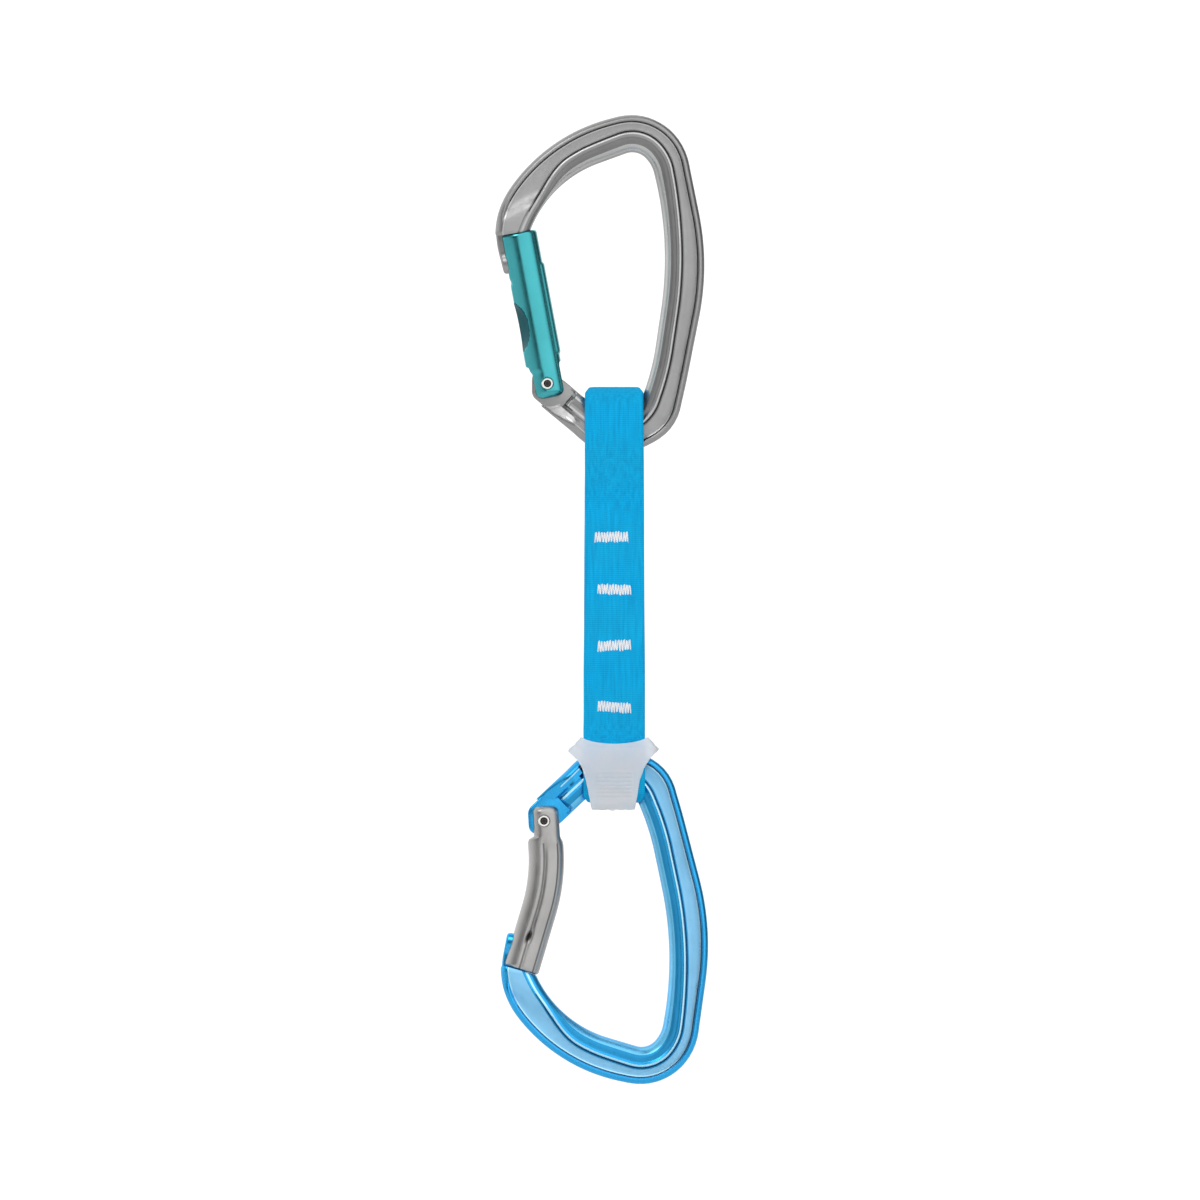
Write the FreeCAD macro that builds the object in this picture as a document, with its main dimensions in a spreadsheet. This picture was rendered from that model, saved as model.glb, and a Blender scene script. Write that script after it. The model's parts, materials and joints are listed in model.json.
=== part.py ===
import FreeCAD, Part
import Sketcher
import math
import os

# Climbing quickdraw, 12 cm sling, hanging. Millimetres, +Z up, +X towards the carabiner spines,
# -Y is the front. The origin is the seat in the crown of the upper carabiner, where it hangs.
# Each carabiner is drawn about its own gate rivet: x towards the spine, z towards the wide end.

Vector = FreeCAD.Vector
Rotation = FreeCAD.Rotation
Placement = FreeCAD.Placement
X_AXIS = Vector(1, 0, 0)
Y_AXIS = Vector(0, 1, 0)
Z_AXIS = Vector(0, 0, 1)

DIMENSIONS = [
    ("bar_thickness", 10.4, "carabiner frame, front to back"),
    ("outer_edge_round", 1.5, "rounding of the outer flange"),
    ("inner_edge_round", 4.4, "rounding of the rope-bearing side"),
    ("outer_flange", 1.8, "width of the outer flange"),
    ("inner_flange", 5.3, "width of the inner flange"),
    ("web_recess", 1.9, "depth of the channel on each face"),
    ("tang_thickness", 4.8, "hinge tang of the frame"),
    ("tang_clearance_radius", 6.6, "circle about the rivet kept clear for the gate cheeks"),
    ("key_tilt", 10.6, "degrees from the frame's z axis to the nose key"),
    ("key_neck", 3.4, "width of the key's neck"),
    ("key_head_radius", 3.2, "radius of the key's head"),
    ("key_head_height", 36.0, "key head above the rivet"),
    ("key_outer", 7.7, "key's outer face beyond the rivet line"),
    ("key_width", 8.3, "key's outer face to its inner face"),
    ("key_gap", 0.35, "clearance round the key in a closed gate"),
    ("key_swing_gap", 0.7, "more room under the key's head for the gate's arc"),
    ("gate_thickness", 9.4, "gate, front to back"),
    ("gate_half_width", 5.0, "half the gate's width in the carabiner's plane"),
    ("gate_edge_round", 1.7, "rounding of the gate's long edges"),
    ("gate_heel", 4.1, "gate's end beyond the rivet"),
    ("fork_slot", 5.2, "slot between the gate's cheeks"),
    ("fork_depth", 5.75, "floor of the fork above the rivet"),
    ("shank_radius", 1.5, "rivet shank"),
    ("rivet_head_radius", 1.8, "rivet head"),
    ("rivet_head_depth", 0.9, "depth of the head in the cheek"),
    ("rivet_dimple_radius", 1.1, "dimple in the rivet head"),
    ("cheek_gap", 0.02, "fit of the rivet in the cheeks"),
    ("tang_gap", 0.05, "running clearance of the rivet in the tang"),
    ("bore_radius", 1.7, "driver and spring bore in the gate"),
    ("bore_offset", 1.5, "bore axis beside the rivet, towards the spine"),
    ("straight_bore_end", 30.0, "end of the bore in the straight gate"),
    ("bent_bore_end", 17.0, "end of the bore in the bent gate"),
    ("driver_radius", 1.0, "driver rod"),
    ("collar_radius", 1.6, "driver collar"),
    ("collar_height", 4.6, "collar above the centre of the driver's round tip"),
    ("collar_width", 1.0, "collar along the rod"),
    ("stem_radius", 0.7, "driver stem inside the spring"),
    ("stem_length", 2.6, "stem above the collar"),
    ("tip_height", 4.1, "centre of the driver's tip above the rivet, square on the notch"),
    ("notch_tilt", 5.3, "degrees from the frame's z axis to the notch's normal"),
    ("wire_radius", 0.22, "spring wire"),
    ("coil_radius", 1.3, "spring, mean"),
    ("webbing_width", 17.4, "sling, across"),
    ("ply", 2.0, "one ply of webbing"),
    ("bar_room", 5.6, "half the space between the plies at the carabiner bar"),
    ("hinge_round", 2.7, "half the thickness of the sewn middle"),
    ("flex_gap", 0.3, "clearance where the webbing bends"),
    ("tack_width", 9.5, "bar tack, across the sling"),
    ("tack_height", 2.8, "bar tack, along the sling"),
    ("tack_proud", 0.4, "bar tack above the webbing's face"),
    ("tack_gap", 0.03, "bar tack in its stitch slot"),
    ("rubber_wall", 1.4, "positioner wall"),
    ("rubber_gap", 0.1, "positioner to webbing"),
]

UPPER_RIVET = Vector(-24.3, 0, -66.5)
LOWER_RIVET = Vector(-25.3, 0, -192.2)
LOWER_TURN = -3.44
BAR_CENTRE = Vector(19.72, 0, -1.25)
SLING_X = -5.1
UPPER_FLEX = -102.0
LOWER_FLEX = -164.5
TACK_HEIGHTS = [-110.6, -125.7, -141.8, -159.5]
# Bent gate: height of the knee, angle of the bend in degrees, centre of the free end.
BENT_KNEE = 17.0
BENT_ANGLE = 20
BENT_END = (-8.95, 41.6)
# Key and keyway: how far they run past the centre of the key's head, and the cutting allowance.
KEY_RUN = 10.4
KEYWAY_RUN = 12.0
CUT_PAST = 3.0
# Rivet: head below the gate's face, depth of the dimple, chamfer of the head.
HEAD_SUNK = 0.1
DIMPLE_DEPTH = 0.6
HEAD_CHAMFER = 0.3
# Fit of the driver on the tang, and of the spring on its seat.
TIP_FIT = 0.02
SEAT_FIT = 0.05
# Inner and outer radius of the room for the carabiner's round corner inside an eye.
CORNER_ROOM = (7.7, 20.4)
EYE_CORNER_ROUND = 5.0
SPRING_TURNS = {"upper": 14, "lower": 6}

# Frame outlines about the rivet: (x, z, rounding radius of that corner).
OUTER_OUTLINE = [
    (-15.05, 38.5, 0), (-16.4, 47.9, 23), (0.6, 72.5, 50), (26.9, 78.1, 16), (39.1, 71.1, 17),
    (46.6, 34.1, 75), (39.9, 0.3, 44), (36.7, -13.9, 13.5), (17.8, -22.8, 13.5), (-3.7, -7.1, 0),
]
INNER_OUTLINE = [
    (-5.3, 43.0, 0), (0.6, 58.1, 33), (25.9, 67.3, 5.3), (30.1, 62.7, 9), (35.4, 40.1, 100),
    (30.2, 4.8, 70), (23.6, -14.8, 8), (4.2, 1.2, 0),
]
NOSE_CUT = [(-17, 42.0, 0), (-3, 45.3, 0), (-3, 36, 0), (-17, 36, 0)]
TANG_OUTLINE = [
    (12.0, -10.0, 0), (11.0, -4.42, 0), (5.2, 0.37, 1.5), (4.9, 3.56, 0.6), (-0.6, 3.06, 0),
    (-0.9, 4.4, 0.5), (-4.9, 4.4, 3.0), (-4.6, -5.4, 3.0), (3.0, -11.4, 0),
]

# Ends of the channel in each face, on the straight stretches next to the nose and the hinge.
CHANNEL_START = 9.4
CHANNEL_END = 13.0


def make_sheet(document):
    sheet = document.addObject("Spreadsheet::Sheet", "Dimensions")
    for row, (alias, value, meaning) in enumerate(DIMENSIONS, start=1):
        sheet.set("A%d" % row, meaning)
        sheet.set("B%d" % row, str(value))
        sheet.setAlias("B%d" % row, alias)
    document.recompute()
    return sheet


def size(alias):
    return float(getattr(sheet, alias))


def bind(feature, prop, expression):
    """Drive a property from the sheet: sheet names are written as {name}."""
    for alias, _, _ in DIMENSIONS:
        expression = expression.replace("{%s}" % alias, "Dimensions.%s" % alias)
    feature.setExpression(prop, expression)


# ---------------------------------------------------------------- outlines

def unit(start, end):
    length = math.hypot(end[0] - start[0], end[1] - start[1])
    return (end[0] - start[0]) / length, (end[1] - start[1]) / length


def corner_arc(before, corner, after):
    """Tangent points and centre of the arc that rounds a corner."""
    back = unit(corner, before)
    ahead = unit(corner, after)
    half = math.acos(max(-1, min(1, back[0] * ahead[0] + back[1] * ahead[1]))) / 2
    run = corner[2] / math.tan(half)
    first = Vector(corner[0] + run * back[0], corner[1] + run * back[1], 0)
    last = Vector(corner[0] + run * ahead[0], corner[1] + run * ahead[1], 0)
    bisector = unit((0, 0), (back[0] + ahead[0], back[1] + ahead[1]))
    reach = corner[2] / math.sin(half)
    centre = Vector(corner[0] + reach * bisector[0], corner[1] + reach * bisector[1], 0)
    return first, centre, last


def arc_between(first, centre, last):
    start = math.atan2(first.y - centre.y, first.x - centre.x)
    end = math.atan2(last.y - centre.y, last.x - centre.x)
    if (end - start) % (2 * math.pi) > math.pi:
        start, end = end, start
    circle = Part.Circle(centre, Vector(0, 0, 1), (first - centre).Length)
    return Part.ArcOfCircle(circle, start, start + (end - start) % (2 * math.pi))


def rounded_edges(corners):
    """Lines and arcs of a closed outline with rounded corners."""
    edges = []
    ends = []
    for index, corner in enumerate(corners):
        before = corners[index - 1]
        after = corners[(index + 1) % len(corners)]
        if corner[2] > 0:
            first, centre, last = corner_arc(before, corner, after)
            edges.append(arc_between(first, centre, last))
        else:
            first = last = Vector(corner[0], corner[1], 0)
        ends.append((first, last))
    for index, (_, last) in enumerate(ends):
        first = ends[(index + 1) % len(ends)][0]
        if (first - last).Length > 1e-6:
            edges.append(Part.LineSegment(last, first))
    return edges


def offset_chain(corners, distance):
    """An open chain of corners moved sideways: positive is to the left of its direction."""
    moved = []
    for index, corner in enumerate(corners):
        normals = []
        if index > 0:
            ahead = unit(corners[index - 1], corner)
            normals.append((-ahead[1], ahead[0]))
        if index < len(corners) - 1:
            ahead = unit(corner, corners[index + 1])
            normals.append((-ahead[1], ahead[0]))
        mean = (sum(n[0] for n in normals), sum(n[1] for n in normals))
        scale = distance * len(normals) / (mean[0] ** 2 + mean[1] ** 2)
        turn = 0
        if len(normals) == 2:
            turn = normals[0][0] * normals[1][1] - normals[0][1] * normals[1][0]
        radius = corner[2] - distance * math.copysign(1, turn) if corner[2] > 0 else 0
        moved.append((corner[0] + mean[0] * scale, corner[1] + mean[1] * scale, radius))
    return moved


def along(start, end, distance):
    direction = unit(start, end)
    return start[0] + distance * direction[0], start[1] + distance * direction[1], 0


def frame_outline():
    return OUTER_OUTLINE + list(reversed(INNER_OUTLINE))


def channel_outline():
    outer = [along(OUTER_OUTLINE[1], OUTER_OUTLINE[2], CHANNEL_START)]
    outer += OUTER_OUTLINE[2:9]
    outer.append(along(OUTER_OUTLINE[8], OUTER_OUTLINE[9], CHANNEL_END))
    inner = [along(INNER_OUTLINE[1], INNER_OUTLINE[2], CHANNEL_START)]
    inner += INNER_OUTLINE[2:7]
    inner.append(along(INNER_OUTLINE[6], INNER_OUTLINE[7], CHANNEL_END))
    outer_side = offset_chain(outer, -size("outer_flange"))
    inner_side = offset_chain(inner, size("inner_flange"))
    return outer_side + list(reversed(inner_side))


# ---------------------------------------------------------------- features

def new_body(label):
    body = document.addObject("PartDesign::Body", label)
    body.Label = label
    return body


def origin_plane(body, role):
    for feature in body.Origin.OriginFeatures:
        if feature.Role == role:
            return feature
    raise RuntimeError(role)


def new_sketch(body, role, edges, offset=None):
    sketch = body.newObject("Sketcher::SketchObject", body.Label + "_sketch")
    sketch.AttachmentSupport = [(origin_plane(body, role), "")]
    sketch.MapMode = "FlatFace"
    if offset is not None:
        sketch.AttachmentOffset = offset
    for edge in edges:
        index = sketch.addGeometry(edge, False)
        if not isinstance(edge, Part.Circle):
            sketch.addConstraint(Sketcher.Constraint("Block", index))
    return sketch


def circle_sketch(body, role, centre, radius_cell, offset=None, extra="0"):
    edges = [Part.Circle(Vector(centre[0], centre[1], 0), Z_AXIS, size(radius_cell))]
    sketch = new_sketch(body, role, edges, offset)
    sketch.addConstraint(Sketcher.Constraint("DistanceX", -1, 1, 0, 3, centre[0]))
    sketch.addConstraint(Sketcher.Constraint("DistanceY", -1, 1, 0, 3, centre[1]))
    radius = sketch.addConstraint(Sketcher.Constraint("Radius", 0, size(radius_cell)))
    bind(sketch, "Constraints[%d]" % radius, "{%s} + %s" % (radius_cell, extra))
    return sketch


def pad(body, sketch, length, both_ways=True):
    feature = body.newObject("PartDesign::Pad", body.Label + "_pad")
    feature.Profile = sketch
    feature.Midplane = both_ways
    bind(feature, "Length", length)
    sketch.Visibility = False
    document.recompute()
    return feature


def pocket(body, sketch, length, both_ways=True, reverse=False):
    before = body.Shape.Volume
    feature = body.newObject("PartDesign::Pocket", body.Label + "_pocket")
    feature.Profile = sketch
    feature.Midplane = both_ways
    feature.Reversed = reverse
    bind(feature, "Length", length)
    sketch.Visibility = False
    document.recompute()
    if not body.Shape.Volume < before - 0.01:
        raise RuntimeError("nothing cut: " + feature.Label)
    return feature


def fillet(body, base, names, radius):
    feature = body.newObject("PartDesign::Fillet", body.Label + "_fillet")
    feature.Base = (base, names)
    bind(feature, "Radius", radius)
    document.recompute()
    return feature


def revolve(body, sketch, axis):
    feature = body.newObject("PartDesign::Revolution", body.Label + "_turned")
    feature.Profile = sketch
    feature.ReferenceAxis = (sketch, [axis])
    feature.Angle = 360
    sketch.Visibility = False
    document.recompute()
    return feature


def face_edges(shape, height, wanted):
    """Names of the edges in the planes y = +height and y = -height that pass a test of x, z."""
    names = []
    for index, edge in enumerate(shape.Edges, start=1):
        middle = edge.valueAt((edge.FirstParameter + edge.LastParameter) / 2)
        flat = all(abs(abs(v.Point.y) - height) < 1e-4 for v in edge.Vertexes)
        if flat and abs(abs(middle.y) - height) < 1e-4 and wanted(middle.x, middle.z):
            names.append("Edge%d" % index)
    return names


def tilted(degrees, shift):
    """A YZ sketch turned about Y by an angle and moved along its own normal."""
    turn = Rotation(X_AXIS, degrees)
    return Placement(turn.multVec(Vector(0, 0, shift)), turn)


def on_chain(corners):
    """Test for points on the rounded lines between the given corners."""
    edges = rounded_edges(corners)
    edges = [edge.toShape() for edge in edges if not is_closing(edge, corners)]

    def test(x, z):
        point = Part.Vertex(x, z, 0)
        return any(point.distToShape(edge)[0] < 0.02 for edge in edges)
    return test


def is_closing(edge, corners):
    if not isinstance(edge, Part.LineSegment):
        return False
    first = Vector(corners[0][0], corners[0][1], 0)
    last = Vector(corners[-1][0], corners[-1][1], 0)
    ends = (edge.StartPoint, edge.EndPoint)
    return min((ends[0] - last).Length, (ends[1] - last).Length) < 1e-6 and \
        min((ends[0] - first).Length, (ends[1] - first).Length) < 1e-6


# ---------------------------------------------------------------- carabiners

def make_frame(side, place):
    """Hot-forged I-beam frame with a thin hinge tang and a keyhole nose."""
    body = new_body(side + "_frame")
    forging = pad(body, new_sketch(body, "XZ_Plane", rounded_edges(frame_outline())),
                  "{bar_thickness}")
    half = size("bar_thickness") / 2
    inner = face_edges(forging.Shape, half, on_chain(INNER_OUTLINE))
    inner_round = fillet(body, forging, inner, "{inner_edge_round}")
    outer = face_edges(inner_round.Shape, half, on_chain(OUTER_OUTLINE))
    fillet(body, inner_round, outer, "{outer_edge_round}")
    for face in (1, -1):
        shift = Placement(Vector(0, 0, face * half), Rotation())
        channel = new_sketch(body, "XZ_Plane", rounded_edges(channel_outline()), shift)
        pocket(body, channel, "{web_recess}", both_ways=False, reverse=face < 0)
    pocket(body, new_sketch(body, "XZ_Plane", rounded_edges(NOSE_CUT)), "{bar_thickness} + 2")
    pocket(body, circle_sketch(body, "XZ_Plane", (0, 0), "tang_clearance_radius"),
           "{bar_thickness} + 2")
    pad(body, new_sketch(body, "XZ_Plane", rounded_edges(TANG_OUTLINE)), "{tang_thickness}")
    pocket(body, circle_sketch(body, "XZ_Plane", (0, 0), "shank_radius",
                               extra="{tang_gap}"), "{tang_thickness} + 2")
    neck = size("key_neck") / 2
    head = size("key_head_radius")
    centre = size("key_head_height")
    top = centre + KEY_RUN
    join = centre + math.sqrt(head ** 2 - neck ** 2)
    angle = math.atan2(join - centre, neck)
    circle = Part.Circle(Vector(0, centre, 0), Z_AXIS, head)
    key_edges = [
        Part.ArcOfCircle(circle, math.pi - angle, 2 * math.pi + angle),
        Part.LineSegment(Vector(neck, join, 0), Vector(neck, top, 0)),
        Part.LineSegment(Vector(neck, top, 0), Vector(-neck, top, 0)),
        Part.LineSegment(Vector(-neck, top, 0), Vector(-neck, join, 0)),
    ]
    key = new_sketch(body, "YZ_Plane", key_edges, tilted(-size("key_tilt"), -size("key_outer")))
    pad(body, key, "{key_width}", both_ways=False)
    body.Placement = place
    return body


def gate_outline(side):
    half = size("gate_half_width")
    heel = size("gate_heel")
    if side == "upper":
        return [
            (-half, -heel, 2.2), (half, -heel, 2.2), (half, 8.0, 0), (half + 0.4, 8.6, 0),
            (half + 0.4, 34.0, 0), (half, 34.6, 0), (half, 44.2, 1.6), (-half, 44.2, 1.6),
            (-half, 30.6, 0), (-half - 0.8, 29.6, 1.0), (-half - 0.8, 24.0, 2.0),
            (-half - 0.1, 17.0, 14.0), (-half - 0.9, 9.5, 3.0), (-half - 0.8, 5.5, 1.0),
            (-half, 4.2, 0),
        ]
    bend = math.radians(BENT_ANGLE)
    knee = BENT_KNEE
    end = BENT_END
    across = (half * math.cos(bend), half * math.sin(bend))
    lead = half * math.tan(bend / 2)
    return [
        (-half, -heel - 0.2, 2.2), (half, -heel - 0.2, 2.2), (half, knee + lead, 55),
        (end[0] + across[0], end[1] + across[1], 1.6), (end[0] - across[0], end[1] - across[1], 1.6),
        (-half, knee - lead, 45),
    ]


def make_gate(side, place, key_turn):
    """Solid gate: forked at the rivet, bored for the spring, slotted for the nose key."""
    body = new_body(side + "_gate")
    corners = gate_outline(side)
    blank = pad(body, new_sketch(body, "XZ_Plane", rounded_edges(corners)), "{gate_thickness}")
    half = size("gate_thickness") / 2
    fillet(body, blank, face_edges(blank.Shape, half, lambda x, z: True), "{gate_edge_round}")
    reach = size("gate_half_width") + 3
    depth = size("fork_depth")
    fork = [(-reach, -reach, 0), (reach, -reach, 0), (reach, depth, 0), (-reach, depth, 0)]
    pocket(body, new_sketch(body, "XZ_Plane", rounded_edges(fork)), "{fork_slot}")
    pocket(body, circle_sketch(body, "XZ_Plane", (0, 0), "shank_radius",
                               extra="{cheek_gap}"), "{gate_thickness} + 2")
    for face in (1, -1):
        shift = Placement(Vector(0, 0, face * half), Rotation())
        seat = circle_sketch(body, "XZ_Plane", (0, 0), "rivet_head_radius", shift, "{cheek_gap}")
        pocket(body, seat, "{rivet_head_depth} + {cheek_gap}", both_ways=False,
               reverse=face < 0)
    bore = circle_sketch(body, "XY_Plane", (size("bore_offset"), 0), "bore_radius")
    bore_end = "{straight_bore_end}" if side == "upper" else "{bent_bore_end}"
    pocket(body, bore, bore_end, both_ways=False, reverse=True)
    gap = size("key_gap")
    neck = size("key_neck") / 2 + gap
    head = size("key_head_radius") + gap
    centre = size("key_head_height")
    low = centre - size("key_swing_gap")
    join = centre + math.sqrt(head ** 2 - neck ** 2)
    angle = math.atan2(join - centre, neck)
    upper_circle = Part.Circle(Vector(0, centre, 0), Z_AXIS, head)
    lower_circle = Part.Circle(Vector(0, low, 0), Z_AXIS, head)
    top = centre + KEYWAY_RUN
    slot = [
        Part.ArcOfCircle(upper_circle, 0, angle),
        Part.LineSegment(Vector(neck, join, 0), Vector(neck, top, 0)),
        Part.LineSegment(Vector(neck, top, 0), Vector(-neck, top, 0)),
        Part.LineSegment(Vector(-neck, top, 0), Vector(-neck, join, 0)),
        Part.ArcOfCircle(upper_circle, math.pi - angle, math.pi),
        Part.LineSegment(Vector(-head, centre, 0), Vector(-head, low, 0)),
        Part.ArcOfCircle(lower_circle, math.pi, 2 * math.pi),
        Part.LineSegment(Vector(head, low, 0), Vector(head, centre, 0)),
    ]
    start = size("key_outer") + CUT_PAST
    keyway = new_sketch(body, "YZ_Plane", slot, tilted(key_turn, -start))
    pocket(body, keyway, "{key_width} + {key_gap} + %g" % CUT_PAST, both_ways=False, reverse=True)
    body.Placement = place
    return body


def make_rivet(side, place):
    body = new_body(side + "_gate_rivet")
    end = size("gate_thickness") / 2 - HEAD_SUNK
    head = size("rivet_head_depth")
    dimple = size("rivet_dimple_radius")
    shank = size("shank_radius")
    cap = size("rivet_head_radius")
    corners = [
        (0, -end + DIMPLE_DEPTH, 0), (dimple * 0.6, -end + DIMPLE_DEPTH, 0), (dimple, -end, 0),
        (cap - HEAD_CHAMFER, -end, 0), (cap, -end + HEAD_CHAMFER, 0),
        (cap, -end + head - HEAD_SUNK, 0), (shank, -end + head - HEAD_SUNK, 0),
    ]
    corners += [(x, -y, 0) for x, y, _ in reversed(corners)]
    turned = new_sketch(body, "XY_Plane", rounded_edges(corners))
    revolve(body, turned, "V_Axis")
    body.Placement = place
    return body


def make_driver(side, place):
    """Turned driver: round tip on the tang, collar under the spring, stem inside it."""
    body = new_body(side + "_gate_driver")
    rod = size("driver_radius")
    collar = size("collar_height")
    thick = size("collar_width")
    top = collar + thick + size("stem_length")
    stem = size("stem_radius")
    lines = [(rod, 0), (rod, collar), (size("collar_radius"), collar),
             (size("collar_radius"), collar + thick), (stem, collar + thick), (stem, top),
             (0, top), (0, -rod)]
    edges = [Part.LineSegment(Vector(a[0], a[1], 0), Vector(b[0], b[1], 0))
             for a, b in zip(lines, lines[1:])]
    edges.append(Part.ArcOfCircle(Part.Circle(Vector(0, 0, 0), Z_AXIS, rod), -math.pi / 2, 0))
    revolve(body, new_sketch(body, "XZ_Plane", edges), "V_Axis")
    body.Placement = place
    return body


def make_spring(side, place, length):
    helix = document.addObject("Part::Helix", side + "_spring_path")
    helix.Height = length - 2 * size("wire_radius") - 0.1
    helix.Pitch = helix.Height / SPRING_TURNS[side]
    bind(helix, "Radius", "{coil_radius}")
    wire = document.addObject("Part::Circle", side + "_spring_wire")
    bind(wire, "Radius", "{wire_radius}")
    wire.Placement = Placement(Vector(size("coil_radius"), 0, 0), Rotation(X_AXIS, 90))
    spring = document.addObject("Part::Sweep", side + "_gate_spring")
    spring.Sections = [wire]
    spring.Spine = (helix, [])
    spring.Solid = True
    spring.Frenet = True
    document.recompute()
    spring.Label = side + "_gate_spring"
    spring.Placement = place
    return spring


def tip_height(gate_tilt):
    """Where the driver's tip rests along a gate whose axis leans by gate_tilt from z."""
    lean = math.radians(size("notch_tilt") - gate_tilt)
    return (size("tip_height") + size("bore_offset") * math.sin(lean)) / math.cos(lean)


def make_carabiner(side, place):
    gate_tilt = size("key_tilt") if side == "upper" else 0.0
    gate_place = place.multiply(Placement(Vector(), Rotation(Y_AXIS, -gate_tilt)))
    make_frame(side, place)
    make_gate(side, gate_place, gate_tilt - size("key_tilt"))
    make_rivet(side, gate_place)
    tip = tip_height(gate_tilt) + TIP_FIT
    driver_place = gate_place.multiply(Placement(Vector(size("bore_offset"), 0, tip), Rotation()))
    make_driver(side, driver_place)
    seat = tip + size("collar_height") + size("collar_width")
    end = size("straight_bore_end") if side == "upper" else size("bent_bore_end")
    seat_place = Vector(size("bore_offset"), 0, seat + size("wire_radius") + SEAT_FIT)
    spring_place = gate_place.multiply(Placement(seat_place, Rotation()))
    make_spring(side, spring_place, end - seat)


# ---------------------------------------------------------------- sling

def mirrored(half_profile):
    """A closed outline from its right half, listed from bottom to top."""
    return half_profile + [(-x, z, r) for x, z, r in reversed(half_profile)]


def make_eye(label, place, crown, centre_x, bend_height, end_height):
    """One eye of the sling about the centre of the bar it wraps: z runs towards the crown."""
    body = new_body(label)
    room = size("bar_room")
    wall = room + size("ply")
    foot = size("hinge_round") - 0.1
    outside = mirrored([(foot, end_height, 0), (wall, bend_height, 0), (wall, crown, wall - 0.1)])
    pad(body, new_sketch(body, "YZ_Plane", rounded_edges(outside)), "{webbing_width}")
    root = end_height + 0.35 * (bend_height - end_height)
    roof = crown - size("ply")
    inside = mirrored([(0.4, root, 0), (room, bend_height, 0), (room, roof, room - 0.1)])
    pocket(body, new_sketch(body, "YZ_Plane", rounded_edges(inside)), "{webbing_width} + 2")
    ring = [Part.Circle(Vector(-centre_x, 0, 0), Z_AXIS, radius) for radius in CORNER_ROOM]
    pocket(body, new_sketch(body, "XZ_Plane", ring), "2 * {bar_room}")
    half = size("webbing_width") / 2
    curve = EYE_CORNER_ROUND
    for hand in (1, -1):
        x_in = hand * (half - curve)
        x_out = hand * half
        x_far = hand * (half + 1)
        round_centre = Vector(x_in, crown - curve, 0)
        corner = [
            arc_between(Vector(x_in, crown, 0), round_centre, Vector(x_out, crown - curve, 0)),
            Part.LineSegment(Vector(x_out, crown - curve, 0), Vector(x_far, crown - curve, 0)),
            Part.LineSegment(Vector(x_far, crown - curve, 0), Vector(x_far, crown + 1, 0)),
            Part.LineSegment(Vector(x_far, crown + 1, 0), Vector(x_in, crown + 1, 0)),
            Part.LineSegment(Vector(x_in, crown + 1, 0), Vector(x_in, crown, 0)),
        ]
        pocket(body, new_sketch(body, "XZ_Plane", corner), "2 * ({bar_room} + {ply}) + 2")
    body.Placement = place
    return body


def make_middle():
    """Sewn middle of the sling, round at the two lines where the webbing bends."""
    body = new_body("webbing_middle")
    half = size("hinge_round")
    slot = [
        Part.LineSegment(Vector(half, LOWER_FLEX, 0), Vector(half, UPPER_FLEX, 0)),
        Part.ArcOfCircle(Part.Circle(Vector(0, UPPER_FLEX, 0), Z_AXIS, half), 0, math.pi),
        Part.LineSegment(Vector(-half, UPPER_FLEX, 0), Vector(-half, LOWER_FLEX, 0)),
        Part.ArcOfCircle(Part.Circle(Vector(0, LOWER_FLEX, 0), Z_AXIS, half), math.pi, 2 * math.pi),
    ]
    pad(body, new_sketch(body, "YZ_Plane", slot), "{webbing_width}")
    gap = size("tack_gap")
    for height in TACK_HEIGHTS:
        pocket(body, new_sketch(body, "XZ_Plane", tack_edges(height, gap)), "2 * {hinge_round} + 2")
    body.Placement = Placement(Vector(SLING_X, 0, 0), Rotation())
    return body


def tack_edges(height, gap):
    half = size("tack_width") / 2 + gap
    rise = size("tack_height") / 2 + gap
    corners = [(-half, height - rise, 0.8), (half, height - rise, 0.8),
               (half, height + rise, 0.8), (-half, height + rise, 0.8)]
    return rounded_edges(corners)


def make_tack(number, height):
    body = new_body("bar_tack_%d" % number)
    pad(body, new_sketch(body, "XZ_Plane", tack_edges(height, 0)),
        "2 * ({hinge_round} + {tack_proud})")
    body.Placement = Placement(Vector(SLING_X, 0, 0), Rotation())
    return body


def make_rubber(place, crown, centre_x):
    """Positioner on the lower eye: a collar above the bar, two panels and a strap under the eye."""
    body = new_body("rubber_positioner")
    ear = -21.7
    collar_end = -19.7
    foot = crown + size("rubber_gap") + size("rubber_wall")
    corners = [
        (-12.4, ear, 1.8), (-4.0, ear + 1.4, 8), (4.0, ear + 1.4, 8), (12.9, ear, 1.8),
        (12.6, -17.4, 3), (8.2, -13.3, 3), (6.2, foot, 1.2), (-6.2, foot, 1.2), (-8.0, -13.3, 3),
        (-12.2, -17.4, 3),
    ]
    wall = size("bar_room") + size("ply") + size("rubber_gap")
    pad(body, new_sketch(body, "XZ_Plane", rounded_edges(corners)),
        "2 * ({bar_room} + {ply} + {rubber_gap} + {rubber_wall})")
    low = crown + size("rubber_gap")
    inside = [(wall, collar_end, 0), (wall, low, wall - 0.1), (-wall, low, wall - 0.1),
              (-wall, collar_end, 0)]
    pocket(body, new_sketch(body, "YZ_Plane", rounded_edges(inside)), "40")
    half = size("webbing_width") / 2 + size("rubber_gap")
    collar = [(centre_x - half, -wall, 0), (centre_x + half, -wall, 0), (centre_x + half, wall, 0),
              (centre_x - half, wall, 0)]
    shift = Placement(Vector(0, 0, collar_end + 0.1), Rotation())
    pocket(body, new_sketch(body, "XY_Plane", rounded_edges(collar), shift), "4",
           both_ways=False)
    body.Placement = place
    return body


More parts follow.
